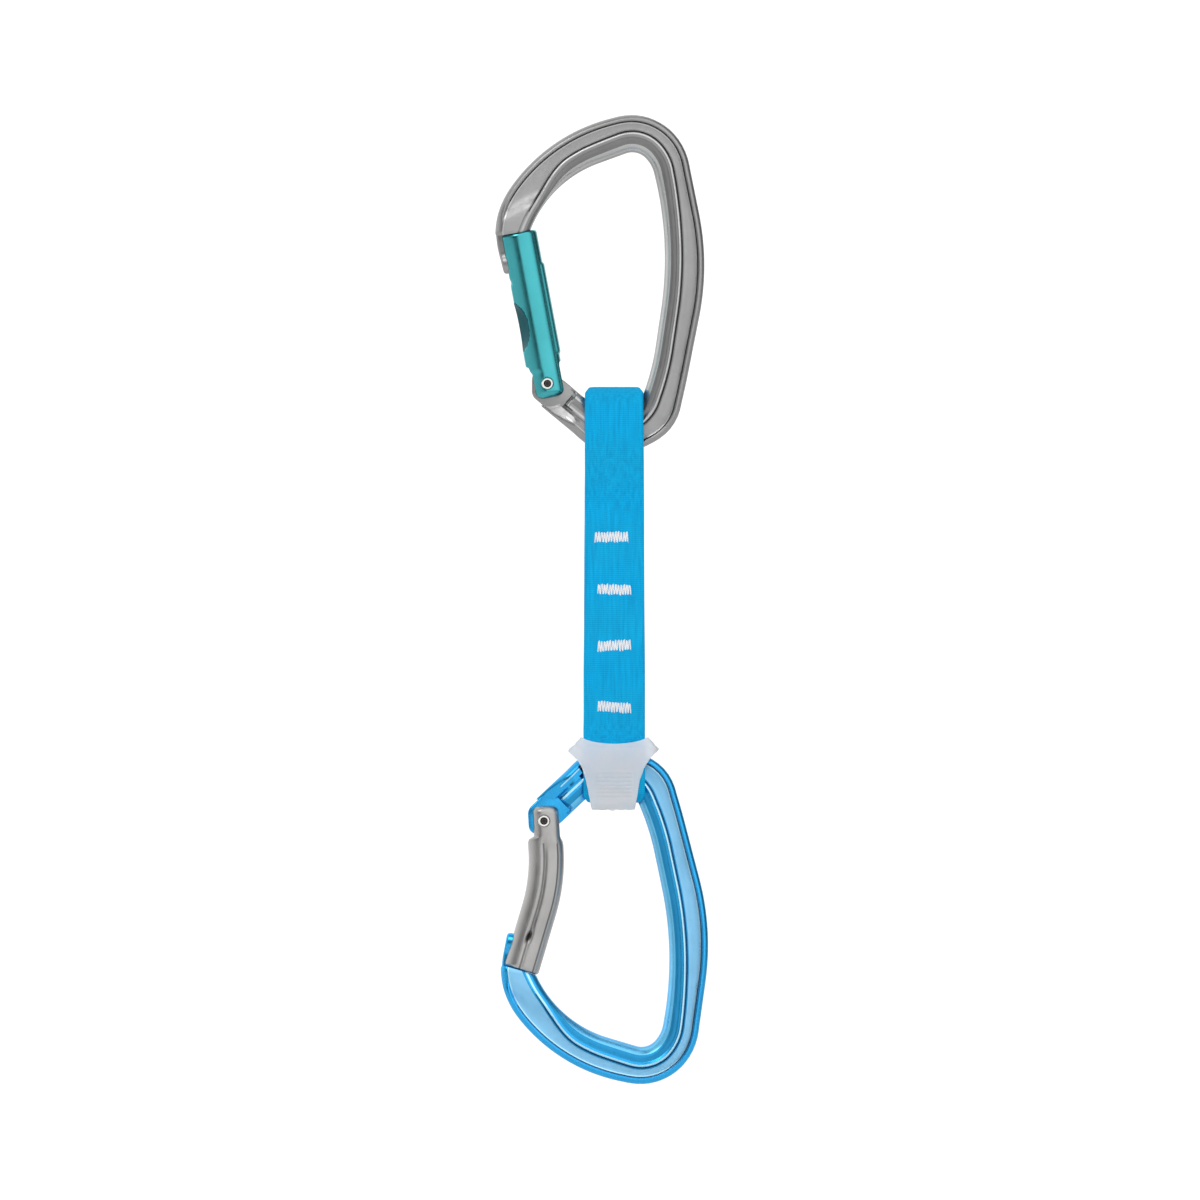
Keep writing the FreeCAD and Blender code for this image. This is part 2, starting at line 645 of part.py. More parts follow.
def make_sling(upper_place, lower_place):
    turn = size("hinge_round") + size("flex_gap")
    upper_bar = upper_place.multVec(BAR_CENTRE)
    lower_bar = lower_place.multVec(BAR_CENTRE)
    upper_x = SLING_X - upper_bar.x
    lower_x = SLING_X - lower_bar.x
    upper_eye = Placement(Vector(SLING_X, 0, upper_bar.z), Rotation())
    lower_eye = Placement(Vector(SLING_X, 0, lower_bar.z), Rotation(X_AXIS, 180))
    make_eye("webbing_upper_eye", upper_eye, 0.35, upper_x, -21.2,
             UPPER_FLEX + turn - upper_bar.z)
    make_eye("webbing_lower_eye", lower_eye, -2.8, lower_x, -18.3,
             lower_bar.z - LOWER_FLEX + turn)
    make_middle()
    for number, height in enumerate(TACK_HEIGHTS, start=1):
        make_tack(number, height)
    make_rubber(lower_eye, -2.8, 0)


# ---------------------------------------------------------------- document

document = FreeCAD.newDocument("quickdraw")
sheet = make_sheet(document)
upper_place = Placement(UPPER_RIVET, Rotation())
lower_turn = Rotation(Y_AXIS, LOWER_TURN).multiply(Rotation(X_AXIS, 180))
lower_place = Placement(LOWER_RIVET, lower_turn)
make_carabiner("upper", upper_place)
make_carabiner("lower", lower_place)
make_sling(upper_place, lower_place)
document.recompute()

for item in document.Objects:
    if "Invalid" in item.State or "Error" in item.State:
        raise RuntimeError("failed: %s %s" % (item.Label, item.State))

sub_parts = [item for item in document.Objects
             if item.isDerivedFrom("PartDesign::Body") or item.isDerivedFrom("Part::Sweep")]
os.makedirs("parts", exist_ok=True)
for item in sub_parts:
    shape = item.Shape
    if shape.isNull() or not shape.isValid():
        raise RuntimeError("bad shape: " + item.Label)
    print("%-22s %8.1f mm3, %d solid(s)" % (item.Label, shape.Volume, len(shape.Solids)))
for item in sub_parts:
    item.Shape.exportStep("parts/%s.step" % item.Label)
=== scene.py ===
import bmesh
import bpy
import json
import math
import random
from mathutils import Matrix, Vector, noise


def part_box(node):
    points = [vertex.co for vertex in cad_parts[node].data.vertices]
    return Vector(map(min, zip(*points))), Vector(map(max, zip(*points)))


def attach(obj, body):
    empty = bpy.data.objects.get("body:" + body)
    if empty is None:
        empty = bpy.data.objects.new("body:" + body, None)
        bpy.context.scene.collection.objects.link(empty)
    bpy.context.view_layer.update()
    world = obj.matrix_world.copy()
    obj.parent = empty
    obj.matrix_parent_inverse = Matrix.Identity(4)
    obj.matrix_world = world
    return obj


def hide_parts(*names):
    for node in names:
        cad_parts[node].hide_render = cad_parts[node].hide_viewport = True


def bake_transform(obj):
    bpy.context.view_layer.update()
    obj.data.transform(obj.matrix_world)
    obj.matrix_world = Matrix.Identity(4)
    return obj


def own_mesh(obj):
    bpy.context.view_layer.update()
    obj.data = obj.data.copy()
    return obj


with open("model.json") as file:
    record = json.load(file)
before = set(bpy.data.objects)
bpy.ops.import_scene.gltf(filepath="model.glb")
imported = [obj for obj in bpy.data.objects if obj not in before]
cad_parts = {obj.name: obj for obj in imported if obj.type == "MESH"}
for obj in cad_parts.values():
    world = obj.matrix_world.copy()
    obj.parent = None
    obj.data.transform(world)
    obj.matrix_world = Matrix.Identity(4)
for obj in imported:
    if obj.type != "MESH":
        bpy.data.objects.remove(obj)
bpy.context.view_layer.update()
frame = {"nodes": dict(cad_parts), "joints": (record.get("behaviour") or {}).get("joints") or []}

# Climbing quickdraw. Lengths are in millimetres and become metres where a mesh is made.
# +Z is up, -Y is the front, +X is towards the spines of the carabiners.

MM = 0.001
JOINTS = {joint["name"]: joint for joint in frame["joints"]}


def joint_place(name):
    return Vector(JOINTS[name]["pos_m"]) / MM


UPPER_RIVET = joint_place("upper_gate_hinge")
LOWER_RIVET = joint_place("lower_gate_hinge")
UPPER_BAR = joint_place("upper_eye_swing")
LOWER_BAR = joint_place("lower_carabiner_tilt")
UPPER_FLEX = joint_place("upper_sling_flex")
LOWER_FLEX = joint_place("lower_sling_flex")
SLING_X = UPPER_FLEX.x
LOWER_TURN = math.radians(-3.44)
GATE_TILT = math.radians(10.6)

UPPER_PLACE = Matrix.Translation(UPPER_RIVET)
LOWER_PLACE = (Matrix.Translation(LOWER_RIVET) @ Matrix.Rotation(LOWER_TURN, 4, "Y")
               @ Matrix.Rotation(math.pi, 4, "X"))

# Carabiner outlines about the gate rivet: (x towards the spine, z towards the wide end, radius).
OUTER_OUTLINE = [
    (-13.1, 30.0, 0), (-16.4, 47.9, 23), (0.6, 72.5, 50), (26.9, 78.1, 16), (39.1, 71.1, 17),
    (46.6, 34.1, 75), (39.9, 0.3, 44), (36.7, -13.9, 13.5), (17.8, -22.8, 13.5), (-7.0, -2.2, 0),
]
INNER_OUTLINE = [
    (-8.2, 35.6, 0), (0.6, 58.1, 33), (25.9, 67.3, 5.3), (30.1, 62.7, 9), (35.4, 40.1, 100),
    (30.2, 4.8, 70), (23.6, -14.8, 8), (1.3, 3.6, 0),
]
# Where the frame stops at the gate's free end: two points (x, z) of a line for each side.
NOSE_LINES = {"upper": ((-17.04, 42.0), (-2.29, 44.3)), "lower": ((-17.65, 39.6), (-2.6, 44.8))}
SHOULDER_RADIUS = 6.6
NOSE_SIDE = 12.0
TANG_OUTLINE = [
    (12.0, -14.0, 0), (11.0, -4.42, 0), (5.15, 0.5, 0.3), (3.9, 1.4, 0.3), (3.8, 3.4, 0.6),
    (-0.6, 3.06, 0), (-0.9, 3.7, 0.5), (-4.5, 3.7, 2.6), (-4.5, -3.6, 3.2), (8.0, -14.0, 0),
]
TANG_THICK = 4.8
TANG_EDGE = 0.5
TANG_HOLE = 1.55


# ---------------------------------------------------------------- shapes

def smooth(start, end, value):
    """0 before start, 1 after end, eased between."""
    share = max(0.0, min(1.0, (value - start) / (end - start)))
    return share * share * (3 - 2 * share)


def mix(a, b, share):
    return a + (b - a) * share


def rounded(corners, step, closed=False):
    """Points along a polyline whose corners are rounded; corners are (x, z, radius)."""
    count = len(corners)
    stops = []
    for index, corner in enumerate(corners):
        here = Vector(corner[:2])
        inner_corner = closed or 0 < index < count - 1
        if corner[2] <= 0 or not inner_corner:
            stops.append([here])
            continue
        back = (Vector(corners[index - 1][:2]) - here).normalized()
        ahead = (Vector(corners[(index + 1) % count][:2]) - here).normalized()
        half = back.angle(ahead) / 2
        centre = here + (back + ahead).normalized() * (corner[2] / math.sin(half))
        first = here + back * (corner[2] / math.tan(half)) - centre
        last = here + ahead * (corner[2] / math.tan(half)) - centre
        sweep = first.angle_signed(last)
        pieces = max(3, math.ceil(abs(sweep) * max(corner[2] / step, 9)))
        arc = []
        for number in range(pieces + 1):
            angle = -sweep * number / pieces
            arc.append(centre + Matrix.Rotation(angle, 2) @ first)
        stops.append(arc)
    points = []
    for index, stop in enumerate(stops):
        points += stop
        if index == count - 1 and not closed:
            break
        goal = stops[(index + 1) % count][0]
        run = (goal - stop[-1]).length
        pieces = max(1, math.ceil(run / step))
        points += [stop[-1].lerp(goal, number / pieces) for number in range(1, pieces)]
    return points


def direction(line, index, ahead=1):
    """Unit vector along a line of points, at one of them."""
    return (line[min(index + ahead, len(line) - 1)] - line[max(index - 1, 0)]).normalized()


def signed_power(value, power):
    return math.copysign(abs(value) ** power, value)


def circle(radius, count):
    angles = [math.tau * number / count for number in range(count)]
    return [(radius * math.cos(angle), radius * math.sin(angle)) for angle in angles]


def add_object(name, data):
    obj = bpy.data.objects.new(name, data)
    bpy.context.scene.collection.objects.link(obj)
    return obj


def make_object(name, verts, faces, place=None, finishes=None):
    """A mesh object from points in millimetres, moved by a placement in millimetres."""
    place = place or Matrix.Identity(4)
    mesh = bpy.data.meshes.new(name)
    mesh.from_pydata([tuple((place @ Vector(v)) * MM) for v in verts], [], faces)
    if finishes:
        mesh.polygons.foreach_set("material_index", finishes + [0] * (len(faces) - len(finishes)))
    mesh.validate()
    obj = add_object(name, mesh)
    tidy_mesh(obj)
    return obj


def tidy_mesh(obj, sharp_degrees=40):
    """Merged points, outward faces, smooth shading with sharp edges kept sharp."""
    work = bmesh.new()
    work.from_mesh(obj.data)
    bmesh.ops.remove_doubles(work, verts=work.verts, dist=1e-6)
    bmesh.ops.dissolve_degenerate(work, edges=work.edges, dist=1e-7)
    bmesh.ops.recalc_face_normals(work, faces=work.faces)
    limit = math.radians(sharp_degrees)
    for face in work.faces:
        face.smooth = True
    for edge in work.edges:
        edge.smooth = len(edge.link_faces) == 2 and edge.calc_face_angle(0) < limit
    work.to_mesh(obj.data)
    work.free()


def skin(ring_count, size):
    """Quads between closed rings of points that follow one another."""
    faces = []
    for row in range(ring_count - 1):
        for column in range(size):
            a = row * size + column
            b = row * size + (column + 1) % size
            faces.append((a, b, b + size, a + size))
    return faces


def loft(name, rings, place=None, finishes=None):
    """Skin a list of closed rings of equal length, with flat ends."""
    size = len(rings[0])
    verts = [point for ring in rings for point in ring]
    faces = skin(len(rings), size)
    faces.append(tuple(reversed(range(size))))
    faces.append(tuple(range(len(verts) - size, len(verts))))
    return make_object(name, verts, faces, place, finishes)


def prism(name, outline, low, high, to_world, place=None):
    """Extrude a closed outline of (a, b) between two heights; to_world(a, b, height) maps it."""
    rings = [[to_world(a, b, height) for a, b in outline] for height in (low, high)]
    return loft(name, rings, place)


def plate(name, outlines, thickness, edge_round, place=None):
    """A flat piece with holes in the XZ plane, centred on y = 0, with rounded edges."""
    curve = bpy.data.curves.new(name, "CURVE")
    curve.dimensions = "2D"
    curve.fill_mode = "BOTH"
    curve.extrude = (thickness / 2 - edge_round) * MM
    curve.bevel_depth = edge_round * MM
    curve.bevel_resolution = 2
    curve.offset = -edge_round * MM
    for outline in outlines:
        spline = curve.splines.new("POLY")
        spline.points.add(len(outline) - 1)
        for point, spot in zip(spline.points, outline):
            point.co = (spot[0] * MM, spot[1] * MM, 0, 1)
        spline.use_cyclic_u = True
    return curve_to_mesh(name, curve, place, Matrix.Rotation(math.pi / 2, 4, "X"))


def curve_to_mesh(name, curve, place=None, turn=Matrix.Identity(4)):
    """The mesh of a curve, turned and then moved by a placement in millimetres."""
    holder = add_object(name + "_curve", curve)
    graph = bpy.context.evaluated_depsgraph_get()
    mesh = bpy.data.meshes.new_from_object(holder.evaluated_get(graph))
    bpy.data.objects.remove(holder)
    bpy.data.curves.remove(curve)
    move = place.copy() if place else Matrix.Identity(4)
    move.translation = move.translation * MM
    mesh.transform(move @ turn)
    obj = add_object(name, mesh)
    tidy_mesh(obj)
    return obj


def apply_modifiers(obj):
    graph = bpy.context.evaluated_depsgraph_get()
    mesh = bpy.data.meshes.new_from_object(obj.evaluated_get(graph))
    obj.modifiers.clear()
    obj.data = mesh


def cut_away(obj, tool):
    cut = obj.modifiers.new("cut", "BOOLEAN")
    cut.operation = "DIFFERENCE"
    cut.solver = "EXACT"
    cut.object = tool
    apply_modifiers(obj)
    bpy.data.objects.remove(tool)


def round_edges(obj, width, segments, sharp_degrees):
    """A small round on the sharp edges."""
    bevel = obj.modifiers.new("edges", "BEVEL")
    bevel.width = width * MM
    bevel.segments = segments
    bevel.limit_method = "ANGLE"
    bevel.angle_limit = math.radians(sharp_degrees)
    bevel.harden_normals = False
    apply_modifiers(obj)


def join(name, parts):
    """One object from several; the shells stay closed."""
    work = bmesh.new()
    for part in parts:
        work.from_mesh(part.data)
    mesh = bpy.data.meshes.new(name)
    work.to_mesh(mesh)
    work.free()
    for part in parts:
        bpy.data.objects.remove(part)
    return add_object(name, mesh)


# ---------------------------------------------------------------- carabiner frames

FRAME_STEP = 1.1
WEB_LEVEL = 3.3
NOSE_TOP = 5.0


def side_of(line, point):
    """Signed distance of a point from a line: positive on the right of its direction."""
    (ax, az), (bx, bz) = line
    length = math.hypot(bx - ax, bz - az)
    return ((point[0] - ax) * (bz - az) - (point[1] - az) * (bx - ax)) / length


def stations():
    """Matched points of the inner and outer edge, walking from the nose to the hinge."""
    inner = rounded(INNER_OUTLINE, FRAME_STEP)
    outer = rounded(OUTER_OUTLINE, 0.7)
    found = []
    for index, point in enumerate(inner):
        along = direction(inner, index)
        outward = Vector((-along.y, along.x))
        best = None
        for a, b in zip(outer, outer[1:]):
            edge = b - a
            cross = outward.x * edge.y - outward.y * edge.x
            if abs(cross) < 1e-9:
                continue
            gap = a - point
            reach = (gap.x * edge.y - gap.y * edge.x) / cross
            share = (gap.x * outward.y - gap.y * outward.x) / cross
            if -1e-6 <= share <= 1 + 1e-6 and 0 < reach < 25 and (best is None or reach < best):
                best = reach
        if best is not None:
            found.append([point, outward, best])
    for _ in range(3):
        widths = [station[2] for station in found]
        for index in range(1, len(found) - 1):
            found[index][2] = (widths[index - 1] + 2 * widths[index] + widths[index + 1]) / 4
    return found


def flange_width(point):
    """The rope-bearing flange is widest in the crown and runs out narrow at the nose."""
    from_crown = math.hypot(point[0] - 22.0, point[1] - 68.0)
    from_nose = math.hypot(point[0] + 2.3, point[1] - 44.8)
    full = 4.85 + 1.1 * math.exp(-(from_crown / 17.0) ** 2)
    return mix(2.5, full, smooth(5.0, 19.0, from_nose))


def fall(distance, radius, depth):
    """How far a rounded edge has dropped at a distance in from the side."""
    if distance >= radius:
        return 0.0
    return depth * (1 - math.sqrt(max(0.0, 1 - (1 - distance / radius) ** 2)))


# Section of one face from the outer edge inwards: (distance from the outer edge, height).
BEAD = [(0.0, 3.5), (0.12, 4.15), (0.45, 4.75), (0.95, 5.1), (1.3, 5.2), (1.58, 5.08),
        (1.76, 4.7), (1.84, 4.2), (1.92, 3.75), (2.1, 3.42), (2.45, 3.3)]
# The inner bead and the valley beside it: (distance out from the flange's edge, height).
STEP = [(0.75, 3.3), (0.42, 3.42), (0.24, 3.75), (0.14, 4.3), (0.0, 4.75), (-0.25, 5.02),
        (-0.62, 5.08), (-0.98, 4.9), (-1.3, 4.62), (-1.75, 4.55)]
FIRST_STEP = len(BEAD) + 5
ROLL_ANGLES = [84, 76, 67, 58, 49, 40, 31, 22, 13, 6]
WALL_SHARES = [0.0, 0.4, 0.75]


def section(width, flange):
    """Points (distance from the outer edge, height) of one face, with the channel in it."""
    points = [(0.0, share * BEAD[0][1]) for share in WALL_SHARES]
    points += BEAD
    web_start = BEAD[-1][0]
    web_end = width - flange - STEP[0][0]
    points += [(mix(web_start, web_end, share), WEB_LEVEL) for share in (0.33, 0.67)]
    points += [(width - flange - out, height) for out, height in STEP]
    roll = flange - 1.9
    for degrees in ROLL_ANGLES:
        angle = math.radians(degrees)
        points.append((width - roll * (1 - math.cos(angle)), 4.6 * math.sin(angle)))
    points.append((width, 0.0))
    return points


def flat_height(out, width, top, outer_round, inner_round, drop):
    inward = width - out
    return top - max(fall(out, outer_round, drop), fall(inward, inner_round, drop * 1.15))


def frame_strands(nose_line):
    """Lengthwise lines of the forging: for each point of the section, its path in the plan."""
    rows = []
    for point, outward, width in stations():
        flange = flange_width(point)
        row = []
        for index, (out, height) in enumerate(section(width, flange)):
            spot = point + outward * (width - out)
            from_hinge = spot.length
            from_nose = -side_of(nose_line, spot) if spot.x < NOSE_SIDE else 99.0
            share = out / width
            grooved_nose = smooth(3.2 + 4.5 * share, 7.2 + 5.5 * share, from_nose)
            if index < FIRST_STEP:
                grooved_hinge = smooth(9.0, 14.5, from_hinge)
                hinge_top = mix(2.5, WEB_LEVEL, smooth(6.6, 10.0, from_hinge))
            else:
                grooved_hinge = smooth(7.8, 8.05, from_hinge)
                hinge_top = 2.5 - 0.8 * smooth(7.2, 7.5, from_hinge)
            nose_height = flat_height(out, width, NOSE_TOP, 2.4, 3.4, 2.5)
            hinge_height = flat_height(out, width, hinge_top, 1.0, 1.2, 0.7)
            if index < len(WALL_SHARES):
                nose_height = WALL_SHARES[index] * (NOSE_TOP - 2.5)
                hinge_height = WALL_SHARES[index] * (hinge_top - 0.7)
            if height == 0:
                nose_height = hinge_height = 0.0
            level = mix(nose_height, height, grooved_nose)
            level = mix(hinge_height, level, grooved_hinge)
            row.append((spot.x, level, spot.y))
        rows.append(row)
    return rows


def beyond_end(spot, nose_line):
    """Positive past the gap of the nose or inside the circle kept clear at the hinge."""
    if spot[2] > 25:
        return side_of(nose_line, (spot[0], spot[2])) if spot[0] < NOSE_SIDE else -1.0
    return SHOULDER_RADIUS - math.hypot(spot[0], spot[2])


def trim_strand(strand, nose_line):
    """Where a strand starts at the nose and ends at the hinge, counted in its own points."""
    middle = len(strand) // 2
    first = max(index for index in range(middle) if beyond_end(strand[index], nose_line) > 0)
    last = min(index for index in range(middle, len(strand))
               if beyond_end(strand[index], nose_line) > 0)

    def crossing(inside, outside):
        a = Vector(strand[inside])
        b = Vector(strand[outside])
        low, high = 0.0, 1.0
        for _ in range(24):
            mid = (low + high) / 2
            if beyond_end(a.lerp(b, mid), nose_line) > 0:
                high = mid
            else:
                low = mid
        return inside + (outside - inside) * low

    start = crossing(first + 1, first)
    end = crossing(last - 1, last)
    return start, end


def at_fraction(strand, place):
    index = min(int(place), len(strand) - 2)
    return Vector(strand[index]).lerp(Vector(strand[index + 1]), place - index)


def frame_shell(name, place, nose_line):
    rows = frame_strands(nose_line)
    strands = [[row[column] for row in rows] for column in range(len(rows[0]))]
    ends = [trim_strand(strand, nose_line) for strand in strands]
    low = max(math.ceil(end[0]) for end in ends) + 4
    high = min(math.floor(end[1]) for end in ends) - 4
    places = []
    for start, end in ends:
        head = [mix(start, low, (number / 10) ** 1.15) for number in range(10)]
        body = list(range(low, high))
        tail = [mix(high, end, 1 - (1 - number / 10) ** 1.15) for number in range(11)]
        places.append(head + body + tail)
    rings = [[at_fraction(strand, stops[row]) for strand, stops in zip(strands, places)]
             for row in range(len(places[0]))]
    rings = [end_cap(rings[0], rings[1])] + rings[1:-1] + [end_cap(rings[-1], rings[-2])]
    full = []
    for half in rings:
        front = [(p.x, -p.y, p.z) for p in half]
        back = [(p.x, p.y, p.z) for p in half[1:-1]]
        full.append(front + list(reversed(back)))
    return frame_mesh(name, full, len(rings[0]), place)


def end_cap(ring, beside):
    """The last ring drawn in a little, so that the end face has a rounded edge."""
    centre = sum(ring, Vector((0, 0, 0))) / len(ring)
    drawn = []
    for point in ring:
        inward = centre - point
        inward.y = -point.y
        drawn.append(point + inward.normalized() * min(0.35, inward.length))
    return drawn


WEB_POINT = 14
# Materials of the forging's strips: plain skin; the web, lighter partly for its blasted finish
# and partly as a painted reflection; painted shade in the channel's corners and in the valley
# beside the inner bead; painted highlights along the beads and on the flange's roll.
SKIN, WEB_PAINTED_REFLECTION, PAINTED_CORNER_SHADE, PAINTED_VALLEY_SHADE, PAINTED_RIDGE_HIGHLIGHT, PAINTED_ROLL_HIGHLIGHT = range(6)
STRIP_PAINTED_LIGHT = {9: PAINTED_CORNER_SHADE, 10: PAINTED_CORNER_SHADE, 11: PAINTED_CORNER_SHADE, 12: PAINTED_RIDGE_HIGHLIGHT, 13: WEB_PAINTED_REFLECTION, 14: WEB_PAINTED_REFLECTION, 15: WEB_PAINTED_REFLECTION,
                16: PAINTED_VALLEY_SHADE, 17: PAINTED_CORNER_SHADE, 18: PAINTED_CORNER_SHADE, 19: PAINTED_CORNER_SHADE, 20: PAINTED_RIDGE_HIGHLIGHT, 21: PAINTED_RIDGE_HIGHLIGHT,
                24: PAINTED_VALLEY_SHADE, 25: PAINTED_VALLEY_SHADE, 26: PAINTED_VALLEY_SHADE, 27: PAINTED_VALLEY_SHADE, 28: PAINTED_ROLL_HIGHLIGHT, 29: PAINTED_ROLL_HIGHLIGHT, 30: PAINTED_ROLL_HIGHLIGHT,
                31: PAINTED_ROLL_HIGHLIGHT}


def frame_strip_material(ring, strip):
    """Which material a strip of the forging has at a section: plain skin, the web with its partly
    painted reflection, painted shade in the channel's corners and valley, or painted highlights
    along the beads and on the roll.
    """
    from_hinge = math.hypot(ring[strip][0], ring[strip][2])
    finish = STRIP_PAINTED_LIGHT.get(strip, SKIN)
    if strip >= FIRST_STEP:
        if from_hinge < 7.9:
            # The squared step where the channel ends by the hinge gets a painted shade line.
            return PAINTED_CORNER_SHADE if from_hinge > 7.2 and strip < 31 else SKIN
    elif from_hinge < 11.5 or finish == WEB_PAINTED_REFLECTION and from_hinge < 24:
        return SKIN
    if finish == PAINTED_CORNER_SHADE and abs(ring[WEB_POINT][1]) > 3.9:
        return PAINTED_VALLEY_SHADE if strip in (10, 17) and abs(ring[WEB_POINT][1]) < 4.7 else SKIN
    return finish


def frame_mesh(name, rings, half_count, place):
    """Skin the forging's rings, and close each end with quads from front to back."""
    size = len(rings[0])
    verts = [point for ring in rings for point in ring]
    faces = skin(len(rings), size)
    strips = [min(column, size - 1 - column) for column in range(size)]
    finishes = [frame_strip_material(ring, strip) for ring in rings[:-1] for strip in strips]
    for base in (0, len(verts) - size):
        for column in range(half_count - 1):
            front = base + column
            back = base + (size - column) % size
            next_back = base + (size - column - 1) % size
            corners = []
            for vertex in (front, front + 1, next_back, back):
                if vertex not in corners:
                    corners.append(vertex)
            if len(corners) > 2:
                faces.append(tuple(corners))
    return make_object(name, verts, faces, place, finishes)


KEY_NECK = 1.25
KEY_HEAD = 2.05
KEY_HALF_LENGTH = 2.8
KEY_CENTRE = 35.9
KEY_TOP = 45.8
KEY_OUTER = 6.9
KEY_INNER = 0.6
KEY_EDGE = 0.7
NOSE_CURVE = 37.0


def keyhole(neck, head, top, drop):
    """Outline of the nose key across the gate: a round head on a narrow neck."""
    join_angle = math.acos(neck / head)
    shoulder = KEY_CENTRE + math.sin(join_angle) * (head + KEY_HALF_LENGTH - KEY_HEAD)
    neck_heights = [mix(shoulder, top, share) for share in (0.2, 0.4, 0.6, 0.8, 1.0)]
    points = [(-neck, height) for height in neck_heights]
    points += [(neck, height) for height in reversed(neck_heights)]
    steps = 28
    for number in range(steps + 1):
        angle = mix(join_angle, -math.pi - join_angle, number / steps)
        low = drop if math.sin(angle) < 0 else 0.0
        rise = math.sin(angle) * (head + KEY_HALF_LENGTH - KEY_HEAD)
        points.append((head * math.cos(angle), KEY_CENTRE - low + rise))
    return points


def nose_side(across, height):
    """The key's outer face follows the round back of the nose and draws in at its tip."""
    if across > -KEY_OUTER / 2:
        return across
    above = max(0.0, height - 40.5)
    below = max(0.0, 40.0 - height)
    return across + above ** 2 / (2 * NOSE_CURVE) + 0.07 * below


def key_solid(name, neck, head, low, high, top, place, edge=0.0, drop=0.0):
    """The key or its slot: low and high are across the gate, outwards to inwards."""
    rings = []
    layers = [(low, 0), (high, 0)]
    if edge:
        layers = [(low, edge), (low + 0.3 * edge, 0.35 * edge), (low + edge, 0),
                  (high - edge, 0), (high, edge)]
    for across, inset in layers:
        outline = keyhole(neck - inset, head - inset, top, drop)
        rings.append([(nose_side(across, z) if edge else across, y, z) for y, z in outline])
    return loft(name, rings, place)


def make_frame_piece(side, place, finishes):
    shell = frame_shell(side + "_forging", place, NOSE_LINES[side])
    outlines = [rounded(TANG_OUTLINE, 0.6, closed=True), circle(TANG_HOLE, 40)]
    tang_plate = plate(side + "_tang", outlines, TANG_THICK, TANG_EDGE, place)
    tilt = place @ Matrix.Rotation(-GATE_TILT, 4, "Y")
    key = key_solid(side + "_key", KEY_NECK, KEY_HEAD, -KEY_OUTER, KEY_INNER, KEY_TOP, tilt,
                    edge=KEY_EDGE)
    obj = join(side + "_frame_forged", [shell, tang_plate, key])
    for material in finishes:
        obj.data.materials.append(material)
    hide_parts(side + "_frame")
    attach(obj, side + "_carabiner")


# ---------------------------------------------------------------- gates

GATE_WIDE = 5.0
GATE_DEEP = 4.7
GATE_SIDES = 128
# Centre line of each gate about its rivet, (x, z, radius), from the heel to the free end.
GATE_LINES = {"upper": [(0, -4.1, 0), (0, 44.2, 0)],
              "lower": [(0, -4.3, 0), (0, 17.0, 50), (-9.25, 42.4, 0)]}
HEEL_ROUND = 1.9
TIP_ROUND = 0.9
MOST_INSET = 1.6
FORK_HALF = 2.6
FORK_DEPTH = 5.75
RIVET_SEAT = 1.84
KEY_GAP = 0.22
SLOT_DROP = 0.7


def lengths_along(line):
    """The length of a line of points up to each of them."""
    travelled = [0.0]
    for before, after in zip(line, line[1:]):
        travelled.append(travelled[-1] + (after - before).length)
    return travelled


def gate_outline(squareness):
    """Evenly spaced points of a unit superellipse: 2 is a circle, more is squarer."""
    dense = []
    for number in range(721):
        angle = math.tau * number / 720
        dense.append(Vector([signed_power(part, 2 / squareness)
                             for part in (math.cos(angle), math.sin(angle))]))
    travelled = lengths_along(dense)
    points = []
    index = 0
    for number in range(GATE_SIDES):
        target = travelled[-1] * number / GATE_SIDES
        while travelled[index + 1] < target:
            index += 1
        share = (target - travelled[index]) / (travelled[index + 1] - travelled[index])
        points.append(dense[index].lerp(dense[index + 1], share))
    return points


def gate_ring(outline, centre, across, offsets, inset):
    """One section of a gate, with offsets(x, y) giving the changed outline."""
    ring = []
    for point in outline:
        x, y = offsets(point.x * (GATE_WIDE - inset), point.y * (GATE_DEEP - inset))
        ring.append((centre[0] + across[0] * x, y, centre[1] + across[1] * x))
    return ring


def scoop_depth(height):
    """Depth of the thumb scoop along the straight gate, from 0 to 1."""
    share = (height - 17.2) / 7.4
    return math.sqrt(max(0.0, 1 - share ** 2))


def scoop_side(lens, y):
    """The scoop's two facets: how far out the gate may reach at a depth y."""
    return -5.5 + lens * (0.55 + 0.62 * abs(y))


def upper_gate_shape(height):
    """A rib, a scoop and a lip by the key slot on the outer side, a raised band on the inner."""
    rib = smooth(4.4, 5.6, height) * (1 - smooth(29.3, 30.4, height))
    band = smooth(7.6, 8.6, height) * (1 - smooth(34.0, 34.8, height))
    heel = 1 - smooth(3.2, 4.4, height)
    lens = scoop_depth(height)
    lip = smooth(30.4, 31.5, height)

    def offsets(x, y):
        if x < 0:
            x *= 1 - 0.13 * heel
            x -= 0.4 * lip * smooth(0.8, 1.6, abs(y)) * (1 - smooth(2.5, 3.6, abs(y)))
            x -= 0.28 * rib * (1 - smooth(1.7, 2.5, abs(y)))
            x = max(x, scoop_side(lens, y))
        else:
            x += 0.45 * band * (1 - smooth(2.4, 3.1, abs(y)))
        return x, y
    return offsets


CREASE_SIDE = -0.4


